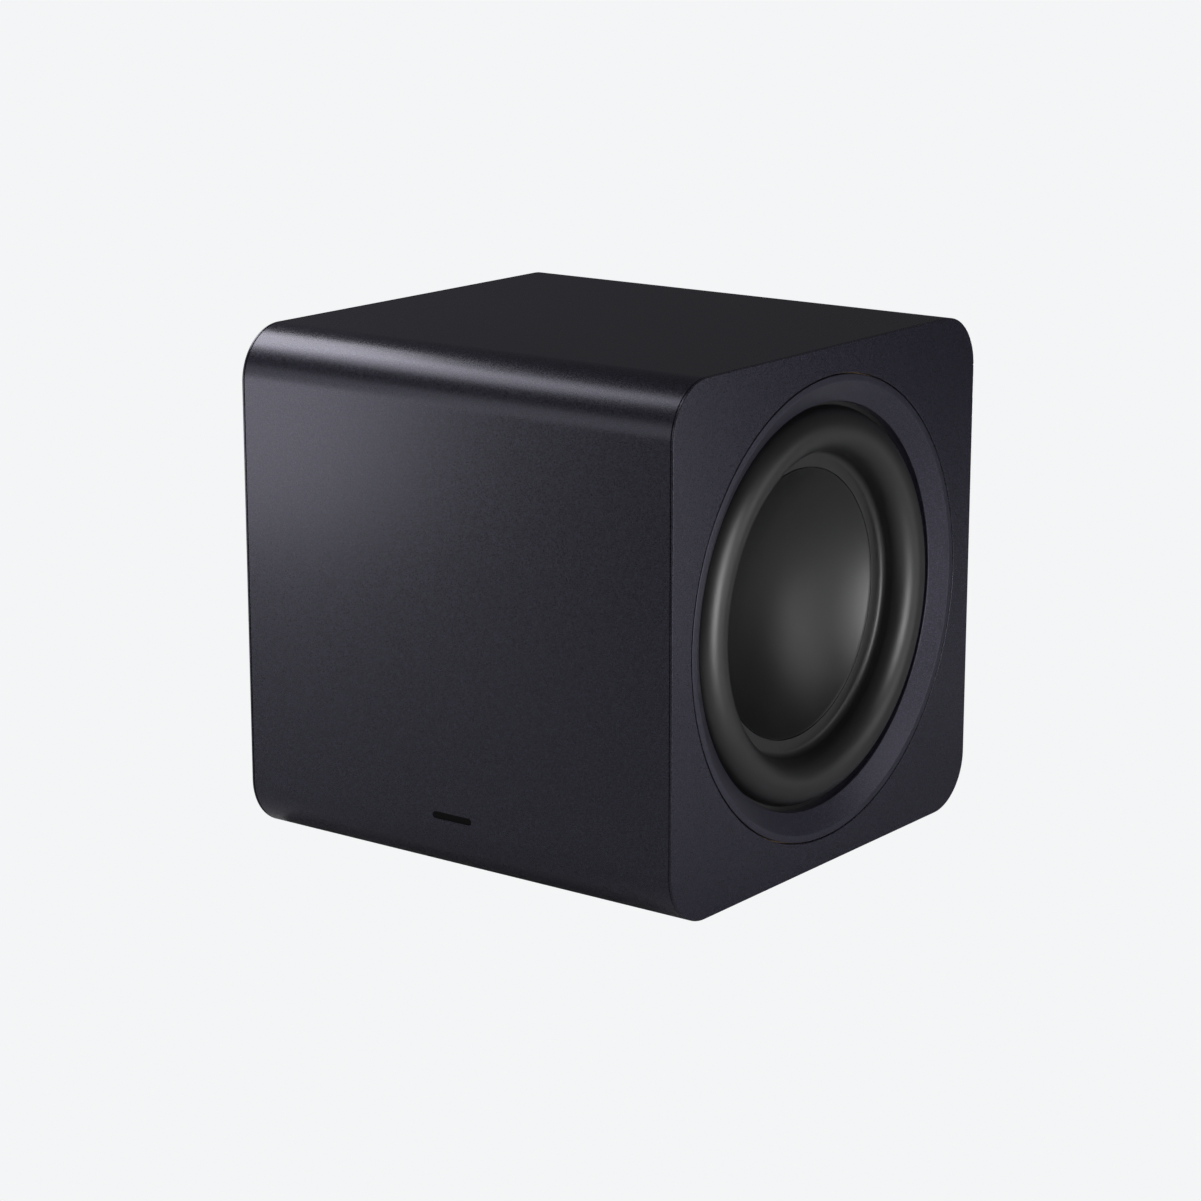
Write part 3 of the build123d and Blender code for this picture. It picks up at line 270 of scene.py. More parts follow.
# ------------------------------------------------------------------------------ finishes
@dataclass(frozen=True)
class FleckPaint:
    """Satin sprayed paint with a fine metallic fleck in it."""

    name: str
    colour: Colour
    roughness: float = 0.33
    metallic: float = 0.50
    gloss: float = 0.80
    fleck_size: float = 0.42 * MM
    fleck_share: float = 0.34
    peel_depth: float = 0.010 * MM

    def material(self) -> bpy.types.Material:
        """Build the paint's material."""
        tree = NodeTree(self.name)
        cell = tree.cells(1.0 / self.fleck_size)
        grain = tree.noise(1.6 / self.fleck_size, 2.0)
        cloud = tree.noise(9.0, 3.0)
        tone = cell * 0.65 + grain * 0.35 + (cloud - 0.5) * 0.10
        stops = [
            (0.15, shade(self.colour, 1.0 - self.fleck_share)),
            (0.55, self.colour),
            (0.90, shade(self.colour, 1.0 + 2.2 * self.fleck_share)),
        ]
        sockets = {
            "Base Color": tree.ramp(tone, stops),
            "Roughness": tree.between(self.roughness - 0.05, self.roughness + 0.05, cell),
            "Metallic": self.metallic,
            "Specular IOR Level": self.gloss,
            "Normal": tree.bump(tree.noise(1.0 / (1.4 * MM), 2.0), self.peel_depth),
        }
        return tree.finish(sockets)


@dataclass(frozen=True)
class Moulding:
    """Moulded plastic or rubber with a spark-eroded grain."""

    name: str
    colour: Colour
    roughness: float = 0.45
    grain_size: float = 0.5 * MM
    grain_depth: float = 0.02 * MM
    patchiness: float = 0.12
    gloss: float = 0.5
    coat: float = 0.0
    coat_roughness: float = 0.1

    def material(self) -> bpy.types.Material:
        """Build the moulding's material."""
        tree = NodeTree(self.name)
        grain = tree.noise(1.0 / self.grain_size, 3.0)
        cloud = tree.noise(35.0, 3.0)
        stops = [
            (0.30, shade(self.colour, 1.0 - self.patchiness)),
            (0.70, shade(self.colour, 1.0 + self.patchiness)),
        ]
        sockets = {
            "Base Color": tree.ramp(cloud * 0.5 + grain * 0.5, stops),
            "Roughness": tree.between(self.roughness - 0.06, self.roughness + 0.06, cloud),
            "Specular IOR Level": self.gloss,
            "Coat Roughness": self.coat_roughness,
            "Coat Weight": self.coat,
            "Normal": tree.bump(grain, self.grain_depth),
        }
        return tree.finish(sockets)


@dataclass(frozen=True)
class Metal:
    """Bare, plated or turned metal with fine tool lines."""

    name: str
    colour: Colour
    roughness: float = 0.28
    line_size: float = 0.25 * MM
    line_stretch: Colour = (1.0, 1.0, 1.0)
    line_depth: float = 0.006 * MM

    def material(self) -> bpy.types.Material:
        """Build the metal's material."""
        tree = NodeTree(self.name)
        lines = tree.noise(1.0 / self.line_size, 2.0, self.line_stretch)
        cloud = tree.noise(60.0, 3.0)
        sockets = {
            "Base Color": tree.ramp(cloud, [(0.3, shade(self.colour, 0.86)), (0.7, self.colour)]),
            "Roughness": tree.between(self.roughness - 0.07, self.roughness + 0.10, lines),
            "Metallic": 1.0,
            "Normal": tree.bump(lines, self.line_depth),
        }
        return tree.finish(sockets)


@dataclass(frozen=True)
class Cloth:
    """Plain-woven impregnated cloth, with threads along two of the piece's axes."""

    name: str
    colour: Colour
    thread: float = 0.55 * MM
    roughness: float = 0.8
    depth: float = 0.08 * MM

    def material(self) -> bpy.types.Material:
        """Build the cloth's material."""
        tree = NodeTree(self.name)
        turns = 2.0 * math.pi / self.thread
        weave = (tree.axis("Y") * turns).wave() * (tree.axis("Z") * turns).wave()
        height = weave * 0.5 + 0.5
        # The colour follows the weave's height: painted shade in the hollows between the threads and
        # painted light on their raised tops, with a little random tone.
        stops = [(0.1, shade(self.colour, 0.55)), (0.6, self.colour), (1.0, shade(self.colour, 1.25))]
        tone = height * 0.7 + tree.noise(700.0, 3.0) * 0.3
        sockets = {
            "Base Color": tree.ramp(tone, stops),
            "Roughness": self.roughness,
            "Normal": tree.bump(height, self.depth),
        }
        return tree.finish(sockets)


@dataclass(frozen=True)
class PressedFibre:
    """Fibreboard or pressed pulp: soft mottled fibres of two tones."""

    name: str
    colour: Colour
    fibre: float = 1.2 * MM
    roughness: float = 0.85
    contrast: float = 0.30

    def material(self) -> bpy.types.Material:
        """Build the board's material."""
        tree = NodeTree(self.name)
        fibres = tree.noise(1.0 / self.fibre, 5.0)
        specks = tree.cells(1.0 / (0.7 * MM))
        stops = [
            (0.3, shade(self.colour, 1.0 - self.contrast)),
            (0.7, shade(self.colour, 1.0 + self.contrast)),
        ]
        sockets = {
            "Base Color": tree.ramp(fibres * 0.8 + specks * 0.2, stops),
            "Roughness": self.roughness,
            "Normal": tree.bump(fibres, 0.05 * MM),
        }
        return tree.finish(sockets)


@dataclass(frozen=True)
class Lens:
    """Clear moulded light pipe."""

    name: str
    colour: Colour

    def material(self) -> bpy.types.Material:
        """Build the lens's material."""
        tree = NodeTree(self.name)
        haze = tree.noise(400.0, 2.0)
        sockets = {
            "Base Color": self.colour,
            "Roughness": tree.between(0.08, 0.22, haze),
            "Transmission Weight": 0.6,
            "Normal": tree.bump(haze, 0.004 * MM),
        }
        return tree.finish(sockets)


@dataclass(frozen=True)
class CircuitBoard:
    """Solder mask over a pattern of straight copper tracks."""

    name: str
    colour: Colour
    pitch: float = 2.6 * MM

    def material(self) -> bpy.types.Material:
        """Build the board's material."""
        tree = NodeTree(self.name)
        turns = 2.0 * math.pi / self.pitch
        across = (tree.axis("X") * turns).wave() > 0.55
        along = (tree.axis("Z") * turns).wave() > 0.70
        area = tree.noise(45.0, 0.0) > 0.5
        track = across * area + along * (1.0 - area)
        sockets = {
            "Base Color": tree.ramp(track, [(0.0, self.colour), (1.0, shade(self.colour, 1.9))]),
            "Roughness": tree.between(0.30, 0.42, tree.noise(300.0)),
            "Normal": tree.bump(track, 0.03 * MM),
        }
        return tree.finish(sockets)


class Finishes:
    """Every finish of the object by its material slot, each built once when first asked for."""

    TABLE = {
        "charcoal_paint": FleckPaint("charcoal_paint", (0.034, 0.032, 0.054), 0.30),
        "trim_paint": FleckPaint("trim_paint", (0.044, 0.042, 0.066), 0.34),
        "bar_gloss": Moulding("bar_gloss", (0.003, 0.003, 0.004), 0.30, patchiness=0.05, gloss=0.12),
        "fibreboard": PressedFibre("fibreboard", (0.30, 0.21, 0.13)),
        "foot_rubber": Moulding("foot_rubber", (0.020, 0.020, 0.021), 0.70, grain_depth=0.04 * MM),
        "zinc_screw": Metal("zinc_screw", (0.60, 0.60, 0.62)),
        "black_screw": Metal("black_screw", (0.05, 0.05, 0.052), 0.34),
        "rear_plastic": Moulding("rear_plastic", (0.022, 0.022, 0.025), 0.50, grain_depth=0.05 * MM),
        "foam": PressedFibre("foam", (0.035, 0.035, 0.036), fibre=0.9 * MM, contrast=0.5),
        "inlet_plastic": Moulding("inlet_plastic", (0.012, 0.012, 0.013), 0.42),
        "plated_pin": Metal("plated_pin", (0.74, 0.71, 0.66), 0.20),
        "button_plastic": Moulding("button_plastic", (0.05, 0.05, 0.055), 0.38),
        "clear_lens": Lens("clear_lens", (0.88, 0.91, 0.94)),
        "circuit_board": CircuitBoard("circuit_board", (0.02, 0.12, 0.06)),
        "brass": Metal("brass", (0.78, 0.58, 0.26), 0.22),
        "ferrite": PressedFibre("ferrite", (0.045, 0.045, 0.048), fibre=0.5 * MM, roughness=0.55),
        "winding_tape": Moulding("winding_tape", (0.60, 0.46, 0.08), 0.35, grain_size=1.5 * MM),
        "capacitor_sleeve": Moulding("capacitor_sleeve", (0.02, 0.025, 0.055), 0.25, coat=0.3),
        "copper_winding": Metal("copper_winding", (0.70, 0.30, 0.13), 0.30, line_stretch=(4.0, 1.0, 1.0)),
        "bare_aluminium": Metal("bare_aluminium", (0.76, 0.77, 0.78), 0.30, line_stretch=(1.0, 1.0, 0.1)),
        "shield_can": Metal("shield_can", (0.70, 0.71, 0.72), 0.32),
        "frame_steel": Moulding("frame_steel", (0.018, 0.018, 0.019), 0.48, grain_depth=0.04 * MM),
        "surround_rubber": Moulding(
            "surround_rubber", (0.009, 0.009, 0.010), 0.42, grain_depth=0.012 * MM, gloss=1.0
        ),
        "cone_pulp": PressedFibre("cone_pulp", (0.028, 0.028, 0.028)),
        "dish_satin": Moulding(
            "dish_satin", (0.002, 0.002, 0.0023), 0.36, grain_depth=0.006 * MM, gloss=0.95
        ),
        "former_foil": Metal("former_foil", (0.68, 0.69, 0.70), 0.26),
        "spider_cloth": Cloth("spider_cloth", (0.50, 0.36, 0.10)),
        "plated_steel": Metal("plated_steel", (0.55, 0.56, 0.57), 0.33),
        "fibreboard_strip": Moulding("fibreboard_strip", (0.20, 0.11, 0.05), 0.45),
        "tinsel": Metal("tinsel", (0.66, 0.54, 0.40), 0.30, line_size=0.4 * MM),
        "lead_sleeve": Moulding("lead_sleeve", (0.030, 0.030, 0.034), 0.50),
    }

    def __init__(self) -> None:
        """Start with nothing built."""
        self._built: dict[str, bpy.types.Material] = {}

    def get(self, slot: str) -> bpy.types.Material:
        """Return the material of a slot, built once."""
        if slot not in self._built:
            self._built[slot] = self.TABLE[slot].material()
        return self._built[slot]


# ------------------------------------------------------------------------------ shapes
class Corner(NamedTuple):
    """One corner of a half section: a radius, a distance out, and how far it is rounded."""

    radius: float
    out: float
    rounding: float = 0.0


def arc(middle: tuple[float, float], size: float, start: float, end: float, steps: int) -> list[Corner]:
    """Return corners along an arc of a half section.

    Args:
        middle: the arc's centre as a radius and a distance out.
        size: the arc's radius.
        start: the angle of its first point in degrees, from the radial direction towards out.
        end: the angle of its last point.
        steps: how many pieces it has.

    Returns:
        The corners from start to end, both included.
    """
    corners = []
    for step in range(steps + 1):
        angle = math.radians(start + (end - start) * step / steps)
        corners.append(Corner(middle[0] + size * math.cos(angle), middle[1] + size * math.sin(angle)))
    return corners


def rounded_edge(size: float, steps: int = 4) -> list[tuple[float, float]]:
    """Return the points of a rounded outer edge, from the face it ends in to the wall below.

    Args:
        size: the edge's radius.
        steps: how many facets it has.

    Returns:
        Pairs of the distance in from the wall and the depth below the face.
    """
    turns = [math.radians(90.0 * step / steps) for step in range(steps + 1)]
    return [(size - size * math.sin(turn), size - size * math.cos(turn)) for turn in turns]


@dataclass(frozen=True)
class Turning:
    """The axis that a round piece turns about, with the way out and one radial direction."""

    centre: Vector
    out: Vector
    radial: Vector

    def at(self, radius: float, out: float) -> Vector:
        """Return the point at a radius and a distance out on the half-section plane."""
        return self.centre + self.radial * radius + self.out * out

    def measure(self, point: Vector) -> tuple[float, float]:
        """Return a point's radius and its distance out."""
        offset = point - self.centre
        out = offset.dot(self.out)
        return (offset - self.out * out).length, out


class Piece:
    """A mesh in the making, with the operations that this object's pieces are shaped by."""

    sharp_angle = 35.0

    def __init__(self, name: str) -> None:
        """Start an empty mesh.

        Args:
            name: the finished piece's name.
        """
        self.name = name
        self.mesh = bmesh.new()

    def bevel(self, edges: Sequence[bmesh.types.BMEdge], size: float, segments: int = 3) -> None:
        """Round edges off by a size in metres."""
        bmesh.ops.bevel(
            self.mesh,
            geom=list(edges),
            offset=size,
            offset_type="OFFSET",
            affect="EDGES",
            segments=segments,
            profile=0.5,
            material=-1,
            clamp_overlap=True,
        )

    def turn(self, corners: Sequence[Corner], axis: Turning, steps: int = 160, closed: bool = True) -> None:
        """Spin a half section into a full round and round off its corners.

        Args:
            corners: the half section, in order.
            axis: what it turns about.
            steps: how many facets go round.
            closed: whether the last corner joins the first.
        """
        points = [self.mesh.verts.new(axis.at(corner.radius, corner.out)) for corner in corners]
        pairs = list(zip(points, points[1:]))
        if closed:
            pairs.append((points[-1], points[0]))
        lines = [self.mesh.edges.new(pair) for pair in pairs]
        bmesh.ops.spin(
            self.mesh,
            geom=points + lines,
            cent=axis.centre,
            axis=axis.out,
            angle=2.0 * math.pi,
            steps=steps,
            use_merge=True,
        )
        bmesh.ops.remove_doubles(self.mesh, verts=self.mesh.verts, dist=MERGE_DISTANCE)
        for corner in corners:
            if corner.rounding > 0.0:
                ring = [edge for edge in self.mesh.edges if self._on_ring(edge, corner, axis)]
                self.bevel(ring, corner.rounding)

    @staticmethod
    def _on_ring(edge: bmesh.types.BMEdge, corner: Corner, axis: Turning) -> bool:
        """Say whether an edge lies on the circle that a corner turned through."""
        for vertex in edge.verts:
            radius, out = axis.measure(vertex.co)
            if max(abs(radius - corner.radius), abs(out - corner.out)) > SAME_PLACE:
                return False
        return True

    def loop(self, corners: Sequence[Vector], rounding: float, segments: int) -> list[bmesh.types.BMEdge]:
        """Make a closed flat loop with rounded corners.

        Args:
            corners: its square corners in order.
            rounding: the radius of each corner.
            segments: facets in each corner.

        Returns:
            The loop's edges.
        """
        before = set(self.mesh.edges)
        points = [self.mesh.verts.new(corner) for corner in corners]
        face = self.mesh.faces.new(points)
        if rounding > 0.0:
            bmesh.ops.bevel(
                self.mesh,
                geom=points,
                offset=rounding,
                offset_type="OFFSET",
                affect="VERTICES",
                segments=segments,
                profile=0.5,
                material=-1,
            )
        edges = [edge for edge in self.mesh.edges if edge not in before]
        faces = {face for edge in edges for face in edge.link_faces}
        bmesh.ops.delete(self.mesh, geom=list(faces), context="FACES_ONLY")
        return edges

    def rectangle(
        self, across: str, place: float, low: Vector, high: Vector, rounding: float, segments: int
    ) -> list[bmesh.types.BMEdge]:
        """Make a closed rectangle with rounded corners that stands across one axis.

        Args:
            across: the axis that it stands across, X or Y.
            place: where it stands along that axis.
            low: its low corner; the value along that axis isn't used.
            high: its high corner.
            rounding: the radius of each corner.
            segments: facets in each corner.

        Returns:
            The rectangle's edges.
        """
        if across == "X":
            flat = [(low.y, low.z), (high.y, low.z), (high.y, high.z), (low.y, high.z)]
            corners = [Vector((place, y, z)) for y, z in flat]
        else:
            flat = [(low.x, low.z), (high.x, low.z), (high.x, high.z), (low.x, high.z)]
            corners = [Vector((x, place, z)) for x, z in flat]
        return self.loop(corners, rounding, segments)

    def circle(self, axis: Turning, radius: float, out: float, steps: int) -> list[bmesh.types.BMEdge]:
        """Make a closed circle about an axis and return its edges."""
        before = set(self.mesh.edges)
        start = self.mesh.verts.new(axis.at(radius, out))
        bmesh.ops.spin(
            self.mesh,
            geom=[start],
            cent=axis.centre,
            axis=axis.out,
            angle=2.0 * math.pi,
            steps=steps,
            use_merge=True,
        )
        return [edge for edge in self.mesh.edges if edge not in before]

    def bridge(self, first: Sequence[bmesh.types.BMEdge], second: Sequence[bmesh.types.BMEdge]) -> None:
        """Join two loops with a wall."""
        bmesh.ops.bridge_loops(self.mesh, edges=list(first) + list(second))

    def walls(self, loops: Sequence[Sequence[bmesh.types.BMEdge]]) -> None:
        """Join loops with walls, each to the next."""
        for first, second in zip(loops, loops[1:]):
            self.bridge(first, second)

    def fill(self, *loops: Sequence[bmesh.types.BMEdge]) -> None:
        """Fill a flat loop, leaving any loop inside it open.

        The loops are filled at a thousand times their size, since the fill drops tiny steps.

        Args:
            loops: the edges of the outer loop, then those of any loop inside it.
        """
        edges = [edge for loop in loops for edge in loop]
        points = list({vertex for edge in edges for vertex in edge.verts})
        bmesh.ops.scale(self.mesh, vec=Vector((1.0, 1.0, 1.0)) / MM, verts=points)
        bmesh.ops.triangle_fill(self.mesh, edges=edges, use_beauty=True, use_dissolve=False)
        bmesh.ops.scale(self.mesh, vec=Vector((1.0, 1.0, 1.0)) * MM, verts=points)

    def done(self, material: bpy.types.Material, weighted: bool = True) -> bpy.types.Object:
        """Turn the mesh into an object with one material.

        Args:
            material: its finish.
            weighted: whether large flat faces keep their own normals.

        Returns:
            The finished object, at the origin.
        """
        bmesh.ops.remove_doubles(self.mesh, verts=self.mesh.verts, dist=MERGE_DISTANCE)
        bmesh.ops.recalc_face_normals(self.mesh, faces=self.mesh.faces)
        data = bpy.data.meshes.new(self.name)
        self.mesh.to_mesh(data)
        self.mesh.free()
        data.materials.append(material)
        data.shade_smooth()
        data.set_sharp_from_angle(angle=math.radians(self.sharp_angle))
        made = bpy.data.objects.new(self.name, data)
        bpy.context.scene.collection.objects.link(made)
        if weighted:
            normals = made.modifiers.new("flat_faces", "WEIGHTED_NORMAL")
            normals.keep_sharp = True
        return made


# ------------------------------------------------------------------------------ workshop
class Workshop:
    """The frame, the finishes and the bookkeeping that every sub-assembly shares."""

    def __init__(self, frame: dict) -> None:
        """Keep the loaded frame.
        """
        self.frame = frame
        self.finishes = Finishes()
        self.slot_of = {row["node"]: row["material_slot"] for row in frame["record"]["subparts"]}

    def dress(self, node: str) -> None:
        """Give a CAD node that stays in view its finish."""
        material = self.finishes.get(self.slot_of[node])
        data = self.frame["nodes"][node].data
        data.materials.clear()
        data.materials.append(material)

    def stand_for(self, made: bpy.types.Object, body: str, *nodes: str) -> None:
        """Let a finished piece ride on a body in place of CAD nodes."""
        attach(made, body)
        self.record(made, *nodes)

    def record(self, made: bpy.types.Object, *nodes: str) -> None:
        """Hide the CAD nodes that a piece replaces and log the piece's face count."""
        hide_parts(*nodes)
        LOG.info("piece %s: %d faces", made.name, len(made.data.polygons))

    def material(self, node: str) -> bpy.types.Material:
        """Return the finish of a CAD node's slot."""
        return self.finishes.get(self.slot_of[node])


# ------------------------------------------------------------------------------ cabinet
@dataclass
class Cabinet:
    """The wrap, the blank bar in its front, and the feet under it."""

    shop: Workshop
    corner_radius: float = 26.0 * MM
    wall: float = 12.0 * MM
    end_rounding: float = 0.3 * MM
    corner_segments: int = 28
    opening_rounding: float = 6.4 * MM
    ledge_width: float = 8.4 * MM
    lip_rounding: float = 0.6 * MM
    opening_clearance: float = 0.4 * MM
    slot_clearance: float = 0.05 * MM
    slot_end: float = 0.49
    bar_rounding: float = 0.12 * MM
    foot_radius: float = 13.0 * MM
    foot_recess: float = 4.4 * MM
    foot_bore: float = 1.95 * MM
    foot_seat: float = 1.2 * MM
    foot_taper: float = 0.8 * MM
    foot_segments: int = 64

    def __post_init__(self) -> None:
        """Read the wrap's box from the frame."""
        self.low, self.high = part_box("cabinet_wrap")

    def build(self) -> None:
        """Build every piece of the cabinet."""
        self.build_wrap()
        self.build_bar()
        self.build_feet()
        self.shop.dress("foot_screws")

    def outline(self, piece: Piece, x: float, inset: float) -> list[bmesh.types.BMEdge]:
        """Return the wrap's rounded-square loop at one place along X, set in by an inset."""
        step = Vector((0.0, inset, inset))
        low, high = self.low + step, self.high - step
        return piece.rectangle("X", x, low, high, self.corner_radius - inset, self.corner_segments)

    def flat_face(self, piece: Piece, y: float) -> list[bmesh.types.BMEdge]:
        """Take the large flat face off one side of the wrap and return the edges round its gap."""
        faces = [f for f in piece.mesh.faces if all(abs(v.co.y - y) < SAME_PLACE for v in f.verts)]
        face = max(faces, key=lambda each: each.calc_area())
        edges = list(face.edges)
        bmesh.ops.delete(piece.mesh, geom=[face], context="FACES_ONLY")
        return edges

    def build_wrap(self) -> None:
        """Build the skin, with its rear opening, its ledge and the slot for the bar."""
        piece = Piece("wrap_skin")
        ends = (self.low.x, self.high.x)
        inner = [self.outline(piece, x, self.wall) for x in ends]
        edge = rounded_edge(self.end_rounding)
        left = [self.outline(piece, self.low.x + depth, inset) for inset, depth in edge]
        right = [self.outline(piece, self.high.x - depth, inset) for inset, depth in reversed(edge)]
        piece.walls([*left, *right])
        piece.bridge(inner[0], inner[1])
        piece.fill(left[0], inner[0])
        piece.fill(right[-1], inner[1])
        self.cut_rear(piece)
        self.cut_slot(piece)
        made = piece.done(self.shop.material("cabinet_wrap"))
        self.shop.stand_for(made, CABINET_BODY, "cabinet_wrap")

    def cut_rear(self, piece: Piece) -> None:
        """Cut the stepped opening that the rear panel sits in."""
        low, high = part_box("rear_panel")
        gasket_low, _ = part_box("rear_gasket")
        clearance = Vector((self.opening_clearance, 0.0, self.opening_clearance))
        low, high = low - clearance, high + clearance
        step = Vector((self.ledge_width, 0.0, self.ledge_width))
        lip = []
        for inset, depth in rounded_edge(self.lip_rounding):
            grown = Vector((inset, 0.0, inset))
            rounding = self.opening_rounding + inset
            y = self.high.y - depth
            lip.append(piece.rectangle("Y", y, low - grown, high + grown, rounding, SLOT_SEGMENTS))
        floor = gasket_low.y
        seat = piece.rectangle("Y", floor, low, high, self.opening_rounding, SLOT_SEGMENTS)
        low, high = low + step, high - step
        ledge = piece.rectangle("Y", floor, low, high, 0.0, SLOT_SEGMENTS)
        back = piece.rectangle("Y", self.high.y - self.wall, low, high, 0.0, SLOT_SEGMENTS)
        piece.fill(self.flat_face(piece, self.high.y), lip[0])
        piece.walls([*lip, seat])
        piece.fill(seat, ledge)
        piece.bridge(ledge, back)
        piece.fill(self.flat_face(piece, self.high.y - self.wall), back)

    def cut_slot(self, piece: Piece) -> None:
        """Sink the shallow slot that the blank bar is let into."""
        low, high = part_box("front_bar")
        room = Vector((self.slot_clearance, 0.0, self.slot_clearance))
        low, high = low - room, high + room
        rounding = (high.z - low.z) * self.slot_end
        mouth = piece.rectangle("Y", self.low.y, low, high, rounding, SLOT_SEGMENTS)
        floor = piece.rectangle("Y", high.y, low, high, rounding, SLOT_SEGMENTS)
        piece.fill(self.flat_face(piece, self.low.y), mouth)
        piece.bridge(mouth, floor)
        piece.fill(floor)

    def build_bar(self) -> None:
        """Build the blank bar, with its front edge rounded."""
        low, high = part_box("front_bar")
        piece = Piece("blank_bar")
        end = (high.z - low.z) * self.slot_end
        loops = []
        for inset, depth in rounded_edge(self.bar_rounding, 2):
            shrunk = Vector((inset, 0.0, inset))
            y = low.y + depth
            loops.append(
                piece.rectangle("Y", y, low + shrunk, high - shrunk, end - inset, SLOT_SEGMENTS)
            )
        loops.append(piece.rectangle("Y", high.y, low, high, end, SLOT_SEGMENTS))
        piece.walls(loops)
        piece.fill(loops[0])
        piece.fill(loops[-1])
        made = piece.done(self.shop.material("front_bar"))
        self.shop.stand_for(made, CABINET_BODY, "front_bar")

    def build_feet(self) -> None:
        """Build the four tapered rubber feet, each with its screw recess."""
        low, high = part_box("feet")
        radius = self.foot_radius
        seat = high.z - self.foot_seat
        section = [
            Corner(self.foot_recess, 0.0, 0.2 * MM),
            Corner(radius - self.foot_taper, 0.0, 0.6 * MM),
            Corner(radius, high.z),
            Corner(self.foot_bore, high.z),
            Corner(self.foot_bore, seat),
            Corner(self.foot_recess, seat),
        ]
        piece = Piece("rubber_feet")
        for x in (low.x + radius, high.x - radius):
            for y in (low.y + radius, high.y - radius):
                axis = Turning(Vector((x, y, 0.0)), Vector((0.0, 0.0, 1.0)), Vector((1.0, 0.0, 0.0)))
                piece.turn(section, axis, self.foot_segments)
        made = piece.done(self.shop.material("feet"))
        self.shop.stand_for(made, CABINET_BODY, "feet")


